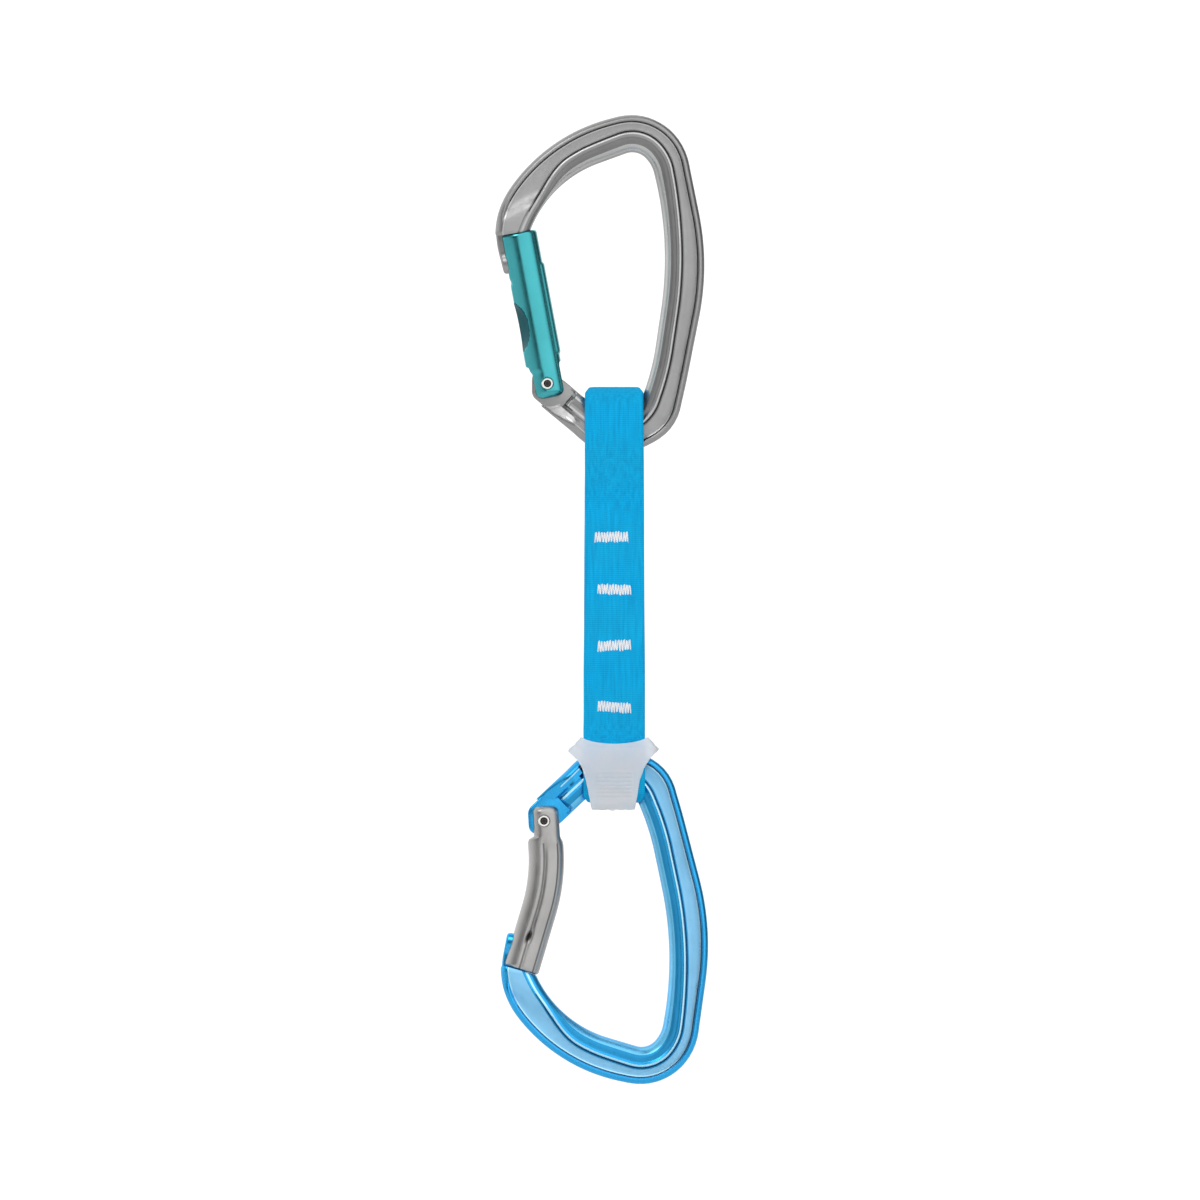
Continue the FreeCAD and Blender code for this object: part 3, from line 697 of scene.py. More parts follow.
def lower_gate_shape(height):
    """Narrow cheeks at the hinge, then a fuller rod with a crease that ends in a pit."""
    left_cheek = 1 - smooth(4.3, 4.9, height)
    right_cheek = 1 - smooth(4.4, 7.4, height)
    crease = smooth(5.0, 9.0, height) * (1 - 0.6 * smooth(33.0, 38.0, height))
    pit = math.exp(-((height - 33.5) / 1.7) ** 2)

    def offsets(x, y):
        if x < 0:
            x *= 1 - 0.33 * left_cheek
        else:
            x *= 1.04 - 0.1 * right_cheek
        furrow = 0.40 * crease * math.exp(-((x - CREASE_SIDE) / 0.5) ** 2)
        furrow += 0.6 * pit * math.exp(-((x - CREASE_SIDE) / 0.6) ** 2)
        furrow += 0.22 * crease * smooth(3.25, 3.6, x)
        flat = 0.22 * crease * smooth(-0.6, 0.3, x) * (1 - smooth(2.6, 4.2, x))
        y = math.copysign(abs(y) - min(abs(y), furrow + flat), y)
        return x, y
    return offsets


def gate_rod(side, place):
    line = rounded(GATE_LINES[side], 0.45)
    low = line[0].y
    travelled = lengths_along(line)
    total = travelled[-1]
    extra = [0.08, 0.2]
    heights = sorted(set(travelled + extra + [total - gap for gap in extra]))
    shape = upper_gate_shape if side == "upper" else lower_gate_shape
    outline = gate_outline(2.2 if side == "upper" else 2.8)
    rings = []
    finishes = []
    for height in heights:
        index = max(n for n in range(len(line) - 1) if travelled[n] <= height + 1e-9)
        share = (height - travelled[index]) / (travelled[index + 1] - travelled[index])
        centre = line[index].lerp(line[index + 1], share)
        along = direction(line, index, 2)
        end_round = HEEL_ROUND if height < total / 2 else TIP_ROUND
        inset = min(fall(min(height, total - height), end_round, end_round), MOST_INSET)
        section_shape = shape(height + low)
        rings.append(gate_ring(outline, centre, (along.y, -along.x), section_shape, inset))
        if len(rings) < len(heights):
            sides = gate_ring(outline, (0, 0), (1, 0), section_shape, inset)
            finishes += [gate_painted_shade(side, height + low, x, y) for x, y, _ in sides]
    return loft(side + "_gate_rod", rings, place, finishes)


def gate_painted_shade(side, height, x, y):
    """0 is the polished or satin rod, 1 the painted shade in the thumb scoop, in the crease and
    its pit, and on the step near the lower gate's inner edge.
    """
    if side == "upper":
        lens = scoop_depth(height)
        return 1 if lens > 0.2 and x < 0 and x <= scoop_side(lens, y) + 0.02 else 0
    if abs(y) < 2.6 or height < 6.0:
        return 0
    return 1 if abs(x - CREASE_SIDE) < 0.38 or 3.35 < x < 3.7 else 0


def make_gate(side, place, finishes):
    tilt = GATE_TILT if side == "upper" else 0.0
    gate_place = place @ Matrix.Rotation(-tilt, 4, "Y")
    rod = gate_rod(side, gate_place)
    for material in finishes:
        rod.data.materials.append(material)
    half_fork = [(FORK_HALF, -9), (FORK_HALF, FORK_DEPTH - 1.2),
                 (FORK_HALF - 0.35, FORK_DEPTH - 0.35), (FORK_HALF - 1.2, FORK_DEPTH)]
    fork = [(-half_fork[0][0], half_fork[0][1])] + half_fork
    fork += [(-across, height) for across, height in reversed(half_fork[1:])]
    cut_away(rod, prism("fork", fork, -9, 9, lambda a, b, c: (c, a, b), gate_place))
    key_place = gate_place @ Matrix.Rotation(tilt - GATE_TILT, 4, "Y")
    cut_away(rod, key_solid("slot", KEY_NECK + KEY_GAP, KEY_HEAD + KEY_GAP, -KEY_OUTER - 3,
                            KEY_INNER + KEY_GAP, KEY_TOP + 3, key_place, drop=SLOT_DROP))
    seat = circle(RIVET_SEAT, 48)
    cut_away(rod, prism("seat", seat, -7, 7, lambda a, b, c: (a, c, b), gate_place))
    tidy_mesh(rod, 35)
    round_edges(rod, 0.16, 2, 35)
    tidy_mesh(rod, 50)
    rod.name = side + "_gate_shell"
    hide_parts(side + "_gate")
    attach(rod, side + "_gate")


WIRE = 0.22
COIL = 1.3
SPRING_TURNS = {"upper": 14, "lower": 6}
TURN_STEPS = 18


def make_spring(side, material):
    """Coil spring in the gate's bore."""
    node = side + "_gate_spring"
    low, high = [Vector(corner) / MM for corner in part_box(node)]
    slide = JOINTS[side + "_driver_slide"]
    axis = Vector(slide["axis"])
    front = Vector((0, -1, 0))
    across = axis.cross(front)
    centre = (low + high) / 2
    half_length = ((high.z - low.z) / 2 - (COIL + WIRE) * abs(axis.x)) / abs(axis.z)
    steps = TURN_STEPS * SPRING_TURNS[side]
    wire = circle(WIRE, 8)
    rings = []
    for step in range(steps + 1):
        turn = math.tau * step / TURN_STEPS
        radial = across * math.cos(turn) + front * math.sin(turn)
        spot = centre + axis * (half_length - WIRE) * (2 * step / steps - 1)
        rings.append([spot + radial * (COIL + out) + axis * along for out, along in wire])
    coil = loft(side + "_spring_coil", rings)
    coil.data.materials.append(material)
    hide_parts(node)
    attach(coil, side + "_gate")
    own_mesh(coil)


# ---------------------------------------------------------------- sling

PLY = 1.9
RIB_PITCH = 0.62
RIB_HEIGHT = 0.05
TACKS = ["bar_tack_1", "bar_tack_2", "bar_tack_3", "bar_tack_4"]
SEAM_HEIGHT = -133.2
WEBBING_FACE = 2.62
STROKES = 25
TACK_HALF = 4.8
TACK_RISE = 1.55


TACK_CENTRES = {node: sum(map(Vector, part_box(node)), Vector()) / 2 / MM for node in TACKS}


def half_width(y, z):
    """Half the width of the webbing: a little wider lower down, drawn in where it turns over."""
    width = 8.42 + 0.43 * max(0.0, min(1.0, (-75.0 - z) / 90.0))
    return width - 0.7 * (1 - smooth(2.0, 5.0, abs(y))) * (1 if z > -80 or z < -178 else 0)


def tack_dip(x, z):
    """How far the stitches pull the webbing in."""
    dip = 0.0
    for centre in TACK_CENTRES.values():
        beside = 1 - smooth(4.2, 5.6, abs(x - centre.x))
        above = 1 - smooth(1.0, 2.4, abs(z - centre.z))
        dip = max(dip, 0.28 * beside * above)
    return dip


def webbing(name, corners, material):
    """A ribbed strip along a path in the YZ plane; corners are (y, z, radius)."""
    line = rounded(corners, 0.8)
    across_count = 140
    back_count = 30
    rings = []
    for index, spot in enumerate(line):
        along = direction(line, index)
        normal = Vector((-along.y, along.x))
        half = half_width(*spot)
        ring = []
        for number in range(across_count + 1):
            share = -1 + 2 * number / across_count
            ring.append(ply_point(share, half, spot, normal, 1))
        for number in range(1, back_count):
            share = 1 - 2 * number / back_count
            ring.append(ply_point(share, half, spot, normal, -1))
        rings.append(ring)
    obj = loft(name, rings)
    obj.data.materials.append(material)
    return obj


def ply_point(share, half, spot, normal, face):
    """A point of the ply's section: share runs across, face is 1 on the outer side."""
    x = share * half
    thick = PLY / 2 * (max(0.0, 1 - abs(share) ** 14)) ** 0.5
    if face > 0:
        inside = 1 - smooth(0.93, 1.0, abs(share))
        thick += RIB_HEIGHT * math.cos(math.tau * x / RIB_PITCH) * inside
        thick += 0.10 * smooth(0.84, 0.9, abs(share)) * (1 - smooth(0.94, 1.0, abs(share)))
        thick += 0.05 * noise.noise(Vector((x * 0.12, spot[0] * 0.1, spot[1] * 0.08)))
        if abs(spot[0]) < 3:
            thick -= tack_dip(x + SLING_X, spot[1])
    wander = 0.12 * noise.noise(Vector((3.0 + face, spot[1] * 0.06, spot[0] * 0.2)))
    y = spot[0] + normal[0] * thick * face
    z = spot[1] + normal[1] * thick * face
    return (SLING_X + x + wander * abs(share), y, z)


def make_sling(material):
    """The strip looped over both bars: two plies that part above and below the sewn middle."""
    inner = 1.75
    wide = 6.5
    roof = UPPER_BAR.z - 0.65
    floor = LOWER_BAR.z + 2.8 + PLY / 2
    upper = [
        (inner, SEAM_HEIGHT, 0), (inner, -101.5, 24), (wide, -85.0, 24), (wide, roof, 4.7),
        (-wide, roof, 4.7), (-wide, -85.0, 24), (-inner, -101.5, 24), (-inner, SEAM_HEIGHT, 0),
    ]
    low_wide = 6.4
    lower = [
        (-inner, SEAM_HEIGHT, 0), (-inner, -165.6, 10), (-low_wide, -173.0, 10),
        (-low_wide, floor, 4.6), (low_wide, floor, 4.6), (low_wide, -173.0, 10),
        (inner, -165.6, 10), (inner, SEAM_HEIGHT, 0),
    ]
    top = webbing("sling_upper", upper, material)
    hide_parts("webbing_upper_eye", "webbing_middle")
    bottom = webbing("sling_lower", lower, material)
    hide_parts("webbing_lower_eye")
    middle = webbing_core(material)
    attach(middle, "strap")
    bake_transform(top)
    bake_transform(bottom)


def webbing_core(material):
    """The ply between the two outer ones, where the ends of the strip overlap and are sewn."""
    rings = []
    start = UPPER_FLEX.z - 3.0
    end = LOWER_FLEX.z + 3.0
    steps = 60
    for row in range(steps + 1):
        z = mix(start, end, row / steps)
        half = half_width(0, z) - 0.25 + 0.08 * noise.noise(Vector((0, 5, z * 0.3)))
        ring = []
        for number in range(48):
            angle = math.tau * number / 48
            x = signed_power(math.cos(angle), 0.3) * half
            y = signed_power(math.sin(angle), 0.5) * 0.82
            ring.append((SLING_X + x, y, z))
        rings.append(ring)
    obj = loft("sling_overlap", rings)
    obj.data.materials.append(material)
    return obj


def make_bar_tack(node, aside, lean, jitter, material):
    """Zigzag thread through the plies, on both faces, sewn a little aside and leaning."""
    centre = TACK_CENTRES[node] + Vector((aside, 0, 0))
    generator = random.Random(jitter)
    curve = bpy.data.curves.new(node, "CURVE")
    curve.dimensions = "3D"
    curve.bevel_depth = 0.19 * MM
    curve.bevel_resolution = 2
    curve.use_fill_caps = True
    for face in (-1, 1):
        points = []
        for number in range(STROKES):
            x = (-TACK_HALF + 2 * TACK_HALF * number / (STROKES - 1)
                 + generator.uniform(-0.07, 0.07))
            side = 1 if number % 2 else -1
            tip = side * (TACK_RISE + generator.uniform(-0.22, 0.3)) + lean * x
            points.append((x, 0.34, tip))
            points.append((x + 0.1, 0.0, tip - side * 0.28))
            next_x = x + 2 * TACK_HALF / (STROKES - 1)
            if number < STROKES - 1:
                points.append((mix(x, next_x, 0.5), -0.16, lean * x))
                points.append((next_x - 0.1, 0.0, -side * (TACK_RISE - 0.3) + lean * x))
        spline = curve.splines.new("POLY")
        spline.points.add(len(points) - 1)
        for point, (x, dip, z) in zip(spline.points, points):
            y = face * (WEBBING_FACE - dip)
            point.co = ((centre.x + x) * MM, y * MM, (centre.z + z) * MM, 1)
    obj = curve_to_mesh(node + "_thread", curve)
    obj.data.materials.append(material)
    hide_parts(node)
    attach(obj, "strap")


# ---------------------------------------------------------------- rubber positioner

# Half of the outline each side of the sling's centre: (height, left, right).
RUBBER_ROWS = [
    (-168.2, 9.3, 9.4), (-169.8, 10.4, 10.6), (-171.6, 11.9, 11.8), (-172.4, 12.1, 11.4),
    (-173.5, 11.3, 10.4), (-175.0, 10.0, 9.4), (-177.0, 8.9, 8.2), (-180.7, 7.8, 6.9),
    (-184.0, 7.1, 6.4), (-186.6, 6.6, 5.95), (-188.8, 6.0, 5.4),
]


def rubber_half(height, side):
    """Half the width of a panel at a height, on one side of the sling's centre."""
    column = 1 if side < 0 else 2
    for upper, lower in zip(RUBBER_ROWS, RUBBER_ROWS[1:]):
        if upper[0] >= height >= lower[0]:
            down = (upper[0] - height) / (upper[0] - lower[0])
            return mix(upper[column], lower[column], smooth(0, 1, down) * 0.3 + 0.7 * down)
    return RUBBER_ROWS[0][column] if height > RUBBER_ROWS[0][0] else RUBBER_ROWS[-1][column]


def rubber_panel(name, face, material):
    """Front or back panel: it wraps back at the ears and ends in a wavy lip under the eye."""
    top = RUBBER_ROWS[0][0]
    bottom = RUBBER_ROWS[-1][0]
    rows = 56
    columns = 48
    verts = []
    for row in range(rows + 1):
        down = row / rows
        for column in range(columns + 1):
            across = -1 + 2 * column / columns
            top_edge = top - 1.75 * (1 - abs(across) ** 2.2)
            bottom_edge = bottom - 0.5 * math.cos(across * 7.0 + 0.6) * (1 - abs(across) ** 4)
            z = mix(top_edge, bottom_edge, down)
            half = rubber_half(z, across)
            x = across * half
            ear = smooth(-176.5, -171.5, z)
            depth = mix(8.35, 9.0, smooth(-186.0, -172.0, z))
            wrap = max(0.0, 1 - (abs(x) / 12.4) ** 7) ** (1 / 2.6)
            y = mix(depth - 0.5 * abs(across) ** 4, depth * max(wrap, 0.12), ear)
            y -= 1.9 * smooth(-186.4, -188.6, z)
            y += rubber_relief(x, z)
            verts.append((SLING_X + x, face * y, z))
    faces = []
    for row in range(rows):
        for column in range(columns):
            a = row * (columns + 1) + column
            quad = (a, a + 1, a + columns + 2, a + columns + 1)
            faces.append(quad if face < 0 else tuple(reversed(quad)))
    mesh = bpy.data.meshes.new(name)
    mesh.from_pydata([tuple(Vector(v) * MM) for v in verts], [], faces)
    obj = add_object(name, mesh)
    for polygon in mesh.polygons:
        polygon.use_smooth = True
    thick = obj.modifiers.new("wall", "SOLIDIFY")
    thick.thickness = 1.25 * MM
    thick.offset = -1
    thick.use_rim = True
    round_edges(obj, 0.42, 3, 50)
    tidy_mesh(obj, 60)
    obj.data.materials.append(material)
    return obj


def rubber_relief(x, z):
    """Moulded ribs across the lower half and a rim at the top."""
    inside = 1 - smooth(4.6, 5.4, abs(x))
    inside *= smooth(-187.0, -186.2, z) * (1 - smooth(-178.6, -177.4, z))
    ribs = 0.16 * (0.5 + 0.5 * math.cos(math.tau * z / 1.1)) * inside
    rim = 0.22 * smooth(-170.9, -170.1, z)
    return ribs + rim


def rubber_strap(material):
    """The strap under the eye that joins the two panels."""
    path = rounded([(-7.3, -185.0, 0), (-7.3, -187.9, 3.2), (7.3, -187.9, 3.2), (7.3, -185.0, 0)],
                   0.5)
    rings = []
    for index, spot in enumerate(path):
        along = direction(path, index)
        normal = Vector((-along.y, along.x))
        ring = []
        for number in range(40):
            angle = math.tau * number / 40
            x = signed_power(math.cos(angle), 0.35) * 5.7
            out = signed_power(math.sin(angle), 0.6) * 0.6
            ring.append((SLING_X + x, spot[0] + normal[0] * out, spot[1] + normal[1] * out))
        rings.append(ring)
    obj = loft("positioner_strap", rings)
    obj.data.materials.append(material)
    return obj


def make_rubber(material):
    front = rubber_panel("positioner_front", -1, material)
    back = rubber_panel("positioner_back", 1, material)
    strap = rubber_strap(material)
    for obj in (front, back, strap):
        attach(obj, "lower_eye")
    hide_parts("rubber_positioner")


# ---------------------------------------------------------------- materials

def add_node(tree, kind, values=None, sources=None, **settings):
    """A shader node with its settings, its plain values and what feeds it."""
    node = tree.nodes.new("ShaderNode" + kind)
    for setting, value in settings.items():
        setattr(node, setting, value)
    for socket, value in (values or {}).items():
        node.inputs[socket].default_value = value
    for socket, source in (sources or {}).items():
        tree.links.new(source, node.inputs[socket])
    return node


def add_ramp(tree, value, stops):
    """Colours along a value; a stop is (position, brightness or colour)."""
    node = add_node(tree, "ValToRGB", sources={"Fac": value})
    elements = node.color_ramp.elements
    while len(elements) < len(stops):
        elements.new(0.5)
    for element, (place, colour) in zip(elements, stops):
        element.position = place
        element.color = (*colour, 1) if isinstance(colour, tuple) else (*[colour] * 3, 1)
    return node.outputs["Color"]


class Surface:
    """A principled material and the few nodes that give it its grain."""

    def __init__(self, name, colour, metallic, roughness):
        self.material = bpy.data.materials.new(name)
        self.material.use_nodes = True
        self.tree = self.material.node_tree
        self.shader = self.tree.nodes["Principled BSDF"]
        self.set("Base Color", (*colour, 1))
        self.set("Metallic", metallic)
        self.set("Roughness", roughness)
        self.place = add_node(self.tree, "TexCoord").outputs["Object"]

    def set(self, socket, value):
        self.shader.inputs[socket].default_value = value

    def feed(self, socket, value):
        self.tree.links.new(value, self.shader.inputs[socket])

    def noise(self, scale, detail=3.0, stretch=None):
        place = self.place
        if stretch:
            place = add_node(self.tree, "Mapping", {"Scale": stretch},
                             {"Vector": place}).outputs["Vector"]
        return add_node(self.tree, "TexNoise",
                        {"Scale": scale, "Detail": detail, "Roughness": 0.55},
                        {"Vector": place}).outputs["Fac"]

    def wave(self, scale, bands, distortion):
        return add_node(self.tree, "TexWave", {"Scale": scale, "Distortion": distortion},
                        {"Vector": self.place}, bands_direction=bands,
                        wave_profile="SIN").outputs["Fac"]

    def ramp(self, value, low, high, start=0.3, end=0.7):
        return add_ramp(self.tree, value, [(start, low), (end, high)])

    def vary(self, socket, value, low, high, start=0.3, end=0.7):
        self.feed(socket, self.ramp(value, low, high, start, end))

    def multiply(self, a, b):
        return add_node(self.tree, "Mix", {"Factor": 1.0}, {"A": a, "B": b}, data_type="RGBA",
                        blend_type="MULTIPLY").outputs["Result"]

    def bump(self, height, strength, distance):
        """Relief on top of the relief that the shader already has."""
        node = add_node(self.tree, "Bump", {"Strength": strength, "Distance": distance},
                        {"Height": height})
        for link in self.shader.inputs["Normal"].links:
            self.tree.links.new(link.from_socket, node.inputs["Normal"])
        self.feed("Normal", node.outputs["Normal"])

    def spot(self, centre, half_width, half_length, lean):
        """Distance from a spot on the front and back: 0 in its middle, 0.5 at its edge."""
        shift = add_node(self.tree, "Mapping",
                         {"Location": (centre[0] * MM, 0, centre[1] * MM),
                          "Rotation": (0, lean, 0),
                          "Scale": (2 * half_width * MM, 100.0, 2 * half_length * MM)},
                         {"Vector": self.place}, vector_type="TEXTURE")
        return add_node(self.tree, "VectorMath", {}, {0: shift.outputs["Vector"]},
                        operation="LENGTH").outputs["Value"]


def tinted(colour, factor):
    return tuple(channel * factor for channel in colour)


HANDLED = (1.0, 1.0, 0.35)


def anodised(name, colour, roughness, grain, metallic=0.9):
    """Tumbled and dyed aluminium: a fine satin grain, faint clouds and small handling marks."""
    made = Surface(name, colour, metallic, roughness)
    made.vary("Base Color", made.noise(90.0, 4.0), tinted(colour, 0.93), tinted(colour, 1.06))
    marks = made.noise(700.0, 5.0, HANDLED)
    made.vary("Roughness", marks, roughness * 0.86, roughness * 1.2, end=0.75)
    made.bump(made.noise(5200.0, 3.0), grain, 0.00004)
    return made.material


def pitted(name, colour, roughness, centre):
    """Satin gate metal with painted shade in the pit at the end of its crease."""
    made = Surface(name, colour, 0.95, roughness)
    clouds = made.ramp(made.noise(90.0, 4.0), tinted(colour, 0.93), tinted(colour, 1.06))
    # Painted shade in the pit: the colour darkens in a tilted oval round the pit's centre.
    pit_shade = made.ramp(made.spot(centre, 0.75, 2.0, PIT_LEAN), (0.12, 0.11, 0.11),
                     (1.0, 1.0, 1.0), 0.25, 0.62)
    made.feed("Base Color", made.multiply(clouds, pit_shade))
    marks = made.noise(700.0, 5.0, HANDLED)
    made.vary("Roughness", marks, roughness * 0.86, roughness * 1.2, end=0.75)
    made.bump(made.noise(5200.0, 3.0), 0.4, 0.00004)
    return made.material


def steel(name, colour, roughness):
    made = Surface(name, colour, 1.0, roughness)
    turned = made.noise(900.0, 3.0, (1.0, 0.15, 1.0))
    made.vary("Roughness", turned, roughness * 0.7, roughness * 1.4)
    made.vary("Base Color", made.noise(400.0), tinted(colour, 0.85), tinted(colour, 1.1))
    made.bump(made.noise(3000.0), 0.2, 0.00003)
    return made.material


def riveted(name, centre):
    """Bright turned steel with painted shade in the dimple in the middle of the head."""
    made = Surface(name, (0.7, 0.7, 0.68), 1.0, 0.2)
    # Painted shade: dark in the middle of the dimple, lightening outwards to the bright ring.
    dimple = made.spot((centre.x, centre.z), 0.95, 0.95, 0.0)
    stops = [(0.26, (0.035, 0.032, 0.03)), (0.45, (0.26, 0.25, 0.24)), (0.60, (0.75, 0.75, 0.73))]
    made.feed("Base Color", add_ramp(made.tree, dimple, stops))
    made.vary("Roughness", made.noise(900.0), 0.16, 0.30)
    made.bump(made.noise(3000.0), 0.15, 0.00003)
    return made.material


def woven(name):
    """Nylon webbing: lengthwise ribs, a short cross thread over each, a matt face."""
    made = Surface(name, (0.0, 0.40, 0.78), 0.0, 0.85)
    ribs = made.noise(1500.0, 2.0, (1.0, 1.0, 0.06))
    threads = made.wave(560.0, "Z", 2.5)
    colour = made.ramp(ribs, (0.0, 0.35, 0.70), (0.0, 0.45, 0.84), end=0.65)
    fibre = made.ramp(threads, 0.86, 1.0, 0.2, 0.8)
    clouds = made.ramp(made.noise(160.0, 4.0), 0.93, 1.0)
    made.feed("Base Color", made.multiply(made.multiply(colour, fibre), clouds))
    made.set("Specular IOR Level", 0.2)
    made.bump(threads, 0.4, 0.00005)
    made.bump(made.noise(4000.0, 4.0, (1.0, 1.0, 0.3)), 0.5, 0.00005)
    return made.material


def thread(name):
    made = Surface(name, (0.86, 0.86, 0.88), 0.0, 0.6)
    twist = made.wave(1100.0, "DIAGONAL", 1.0)
    made.vary("Base Color", twist, (0.74, 0.75, 0.80), (0.93, 0.93, 0.94), 0.1, 0.6)
    made.set("Sheen Weight", 0.3)
    made.bump(twist, 0.6, 0.00005)
    return made.material


def rubber(name):
    """Translucent silicone: milky, cloudy, with a soft skin."""
    made = Surface(name, (0.90, 0.91, 0.95), 0.0, 0.42)
    made.vary("Base Color", made.noise(220.0, 4.0), (0.84, 0.90, 0.95), (0.95, 0.95, 0.97))
    made.vary("Roughness", made.noise(600.0, 3.0), 0.34, 0.5)
    made.set("Transmission Weight", 0.5)
    made.set("IOR", 1.3)
    made.bump(made.noise(1500.0, 3.0), 0.25, 0.00004)
    return made.material


def paint(node, material):
    obj = frame["nodes"][node]
    obj.data.materials.clear()
    obj.data.materials.append(material)


# ---------------------------------------------------------------- studio

def make_camera():
    data = bpy.data.cameras.new("camera")
    camera = add_object("camera", data)
    data.type = "ORTHO"
    data.ortho_scale = 0.3448
    data.clip_start = 0.01
    data.clip_end = 10.0
    camera.location = (-0.0092, -0.8, -0.1287)
    camera.rotation_euler = (math.pi / 2, 0, 0)
    bpy.context.scene.camera = camera


def area_light(name, place, aim, size, power):
    data = bpy.data.lights.new(name, "AREA")
    data.shape = "RECTANGLE"
    data.size, data.size_y = size
    data.energy = power
    light = add_object(name, data)
    light.location = place
    light.rotation_euler = (Vector(aim) - Vector(place)).to_track_quat("-Z", "Y").to_euler()


# How bright the studio is round the object: (degrees to the right of the camera, brightness).
STUDIO_ROUND = [(-180, 1.0), (-110, 1.0), (-80, 0.8), (-52, 0.45), (-38, 0.04), (-14, 0.04),
                (-8, 1.1), (50, 1.2), (66, 0.9), (80, 0.10), (128, 0.12), (150, 0.9), (180, 1.0)]
STUDIO_STRENGTH = 1.15


def make_world():
    """White paper with dark flags at two bearings, so that round metal shows bands."""
    world = bpy.data.worlds.new("studio")
    bpy.context.scene.world = world
    world.use_nodes = True
    tree = world.node_tree
    output = tree.nodes["Background"]
    place = add_node(tree, "TexCoord").outputs["Generated"]
    split = add_node(tree, "SeparateXYZ", sources={"Vector": place})
    forward = add_node(tree, "Math", {1: -1.0}, {0: split.outputs["Y"]}, operation="MULTIPLY")
    bearing = add_node(tree, "Math", {}, {0: split.outputs["X"], 1: forward.outputs["Value"]},
                       operation="ARCTAN2")
    turn = add_node(tree, "MapRange", {"From Min": -math.pi, "From Max": math.pi},
                    {"Value": bearing.outputs["Value"]})
    stops = [((degrees + 180) / 360, light) for degrees, light in STUDIO_ROUND]
    studio = add_ramp(tree, turn.outputs["Result"], stops)
    seen = add_node(tree, "LightPath").outputs["Is Camera Ray"]
    blend = add_node(tree, "Mix", {"B": (1.0, 1.0, 1.0, 1)}, {"Factor": seen, "A": studio},
                     data_type="RGBA")
    tree.links.new(blend.outputs["Result"], output.inputs["Color"])
    output.inputs["Strength"].default_value = STUDIO_STRENGTH


def make_floor():
    half = 3.0
    height = -0.42
    mesh = bpy.data.meshes.new("floor")
    corners = [(-half, -half, height), (half, -half, height), (half, half, height),
               (-half, half, height)]
    mesh.from_pydata(corners, [], [(0, 1, 2, 3)])
    floor = add_object("floor", mesh)
    made = Surface("floor_paper", (0.93, 0.93, 0.93), 0.0, 0.8)
    floor.data.materials.append(made.material)


# ---------------------------------------------------------------- build

# The web colours are lighter and paler than the skin: partly the web's blasted finish, partly a
# painted reflection.
GREY = (0.33, 0.33, 0.33)
GREY_WEB_PAINTED_REFLECTION = (0.39, 0.39, 0.39)
BLUE = (0.035, 0.40, 0.80)
BLUE_WEB_PAINTED_REFLECTION = (0.25, 0.58, 0.86)
TEAL = (0.07, 0.42, 0.46)
TITANIUM = (0.42, 0.415, 0.41)

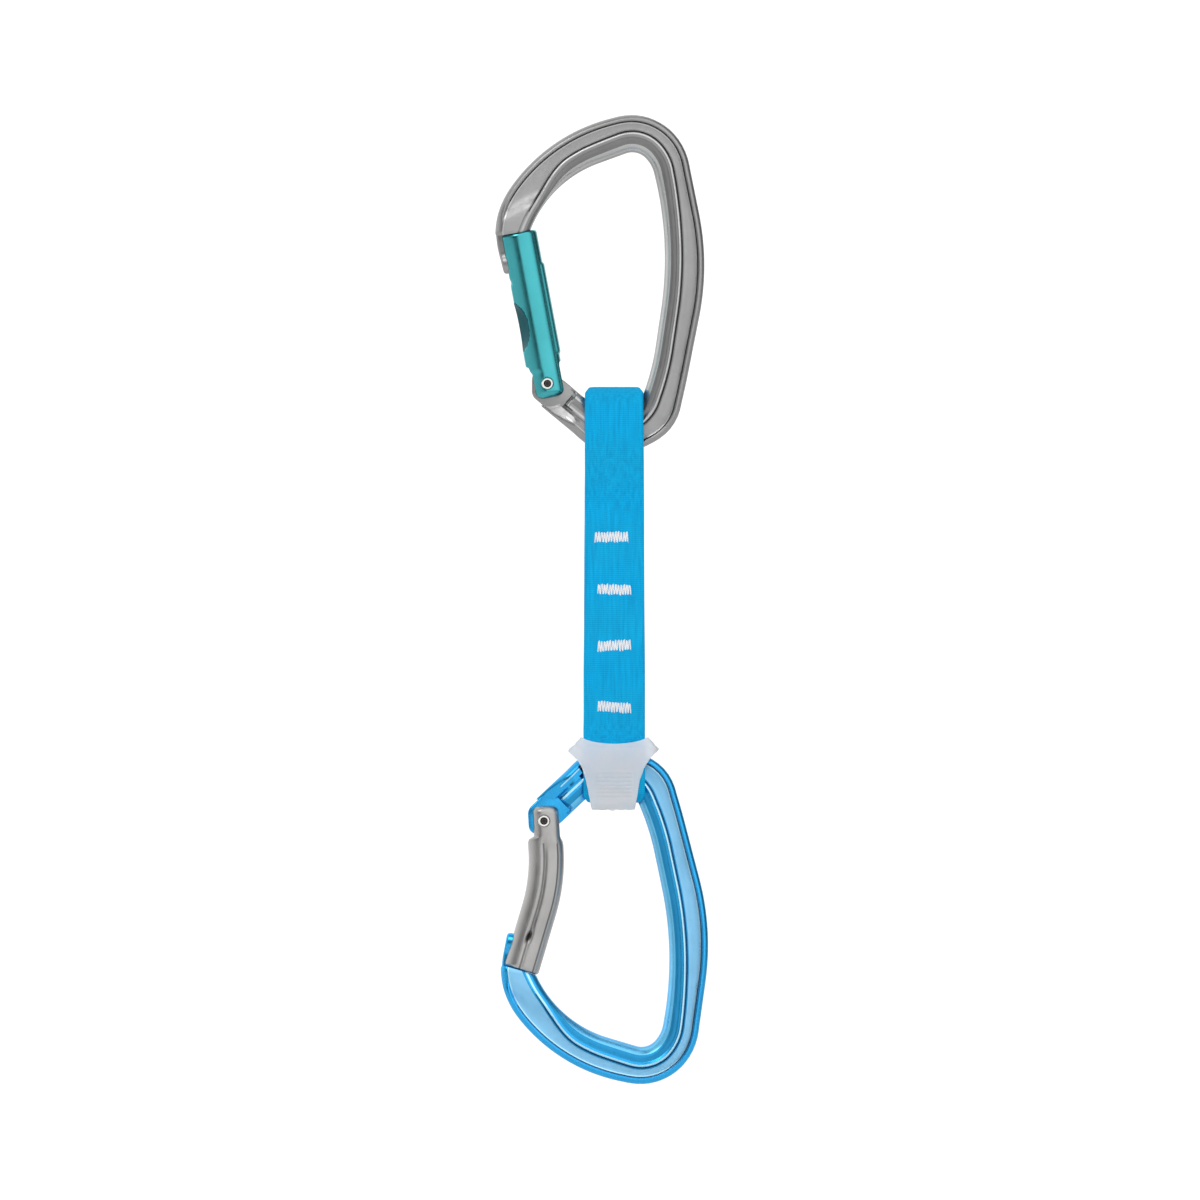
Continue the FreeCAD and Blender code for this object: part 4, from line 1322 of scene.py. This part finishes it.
# For each frame: skin, web with its partly painted reflection, painted shade in the channel's
# corners, painted shade in its valley, painted highlight along the beads, painted highlight on
# the roll.
frame_materials_and_painted_light = {
    "upper": [anodised("grey_skin", GREY, 0.34, 0.4),
              anodised("grey_web_painted_reflection", GREY_WEB_PAINTED_REFLECTION, 0.42, 0.8),
              anodised("grey_painted_corner_shade", tinted(GREY, 0.22), 0.5, 0.3),
              anodised("grey_painted_valley_shade", tinted(GREY, 0.66), 0.40, 0.3),
              anodised("grey_painted_ridge_highlight", (0.55, 0.55, 0.55), 0.30, 0.2),
              anodised("grey_painted_roll_highlight", (0.50, 0.50, 0.50), 0.30, 0.2)],
    "lower": [anodised("blue_skin", BLUE, 0.27, 0.3),
              anodised("blue_web_painted_reflection", BLUE_WEB_PAINTED_REFLECTION, 0.42, 0.6),
              anodised("blue_painted_corner_shade", tinted(BLUE, 0.30), 0.4, 0.3),
              anodised("blue_painted_valley_shade", tinted(BLUE, 0.72), 0.40, 0.3),
              anodised("blue_painted_ridge_highlight", (0.45, 0.77, 0.94), 0.30, 0.2),
              anodised("blue_painted_roll_highlight", (0.16, 0.57, 0.88), 0.30, 0.2)],
}
PIT_LEAN = math.radians(24)
TACK_SETTINGS = ((-0.8, 0.02), (0.0, -0.02), (0.0, 0.05), (0.0, -0.08))
# Centre of the pit, where the lower gate's materials paint shade.
pit_centre = (LOWER_RIVET.x - 4.6, LOWER_RIVET.z - 33.3)
# Each gate's second material is painted shade: in the upper gate's thumb scoop, whose higher
# roughness is its own, and in the lower gate's crease, pit and step.
gate_materials_and_painted_shade = {
    "upper": [anodised("teal_anodised_aluminium", TEAL, 0.20, 0.12, 1.0),
              anodised("teal_scoop_painted_shade", (0.01, 0.10, 0.12), 0.42, 0.3, 1.0)],
    "lower": [pitted("satin_grey_gate", TITANIUM, 0.32, pit_centre),
              pitted("satin_grey_crease_painted_shade", tinted(TITANIUM, 0.45), 0.4, pit_centre)],
}
driver_metal = steel("driver_steel", (0.45, 0.45, 0.45), 0.3)
spring_metal = steel("spring_steel", (0.36, 0.36, 0.37), 0.28)

make_camera()
make_world()
make_floor()
area_light("key", (-0.45, -0.75, 0.55), (0, 0, -0.13), (0.5, 0.5), 3.0)

for side, place in (("upper", UPPER_PLACE), ("lower", LOWER_PLACE)):
    make_frame_piece(side, place, frame_materials_and_painted_light[side])
    make_gate(side, place, gate_materials_and_painted_shade[side])
    paint(side + "_gate_rivet", riveted(side + "_rivet_steel", place.translation))
    paint(side + "_gate_driver", driver_metal)
    make_spring(side, spring_metal)

make_sling(woven("blue_nylon_webbing"))
white_thread = thread("white_bonded_thread")
for number, (node, (aside, lean)) in enumerate(zip(TACKS, TACK_SETTINGS)):
    make_bar_tack(node, aside, lean, number + 3, white_thread)
make_rubber(rubber("milky_silicone"))

bpy.context.scene.view_settings.view_transform = "Standard"
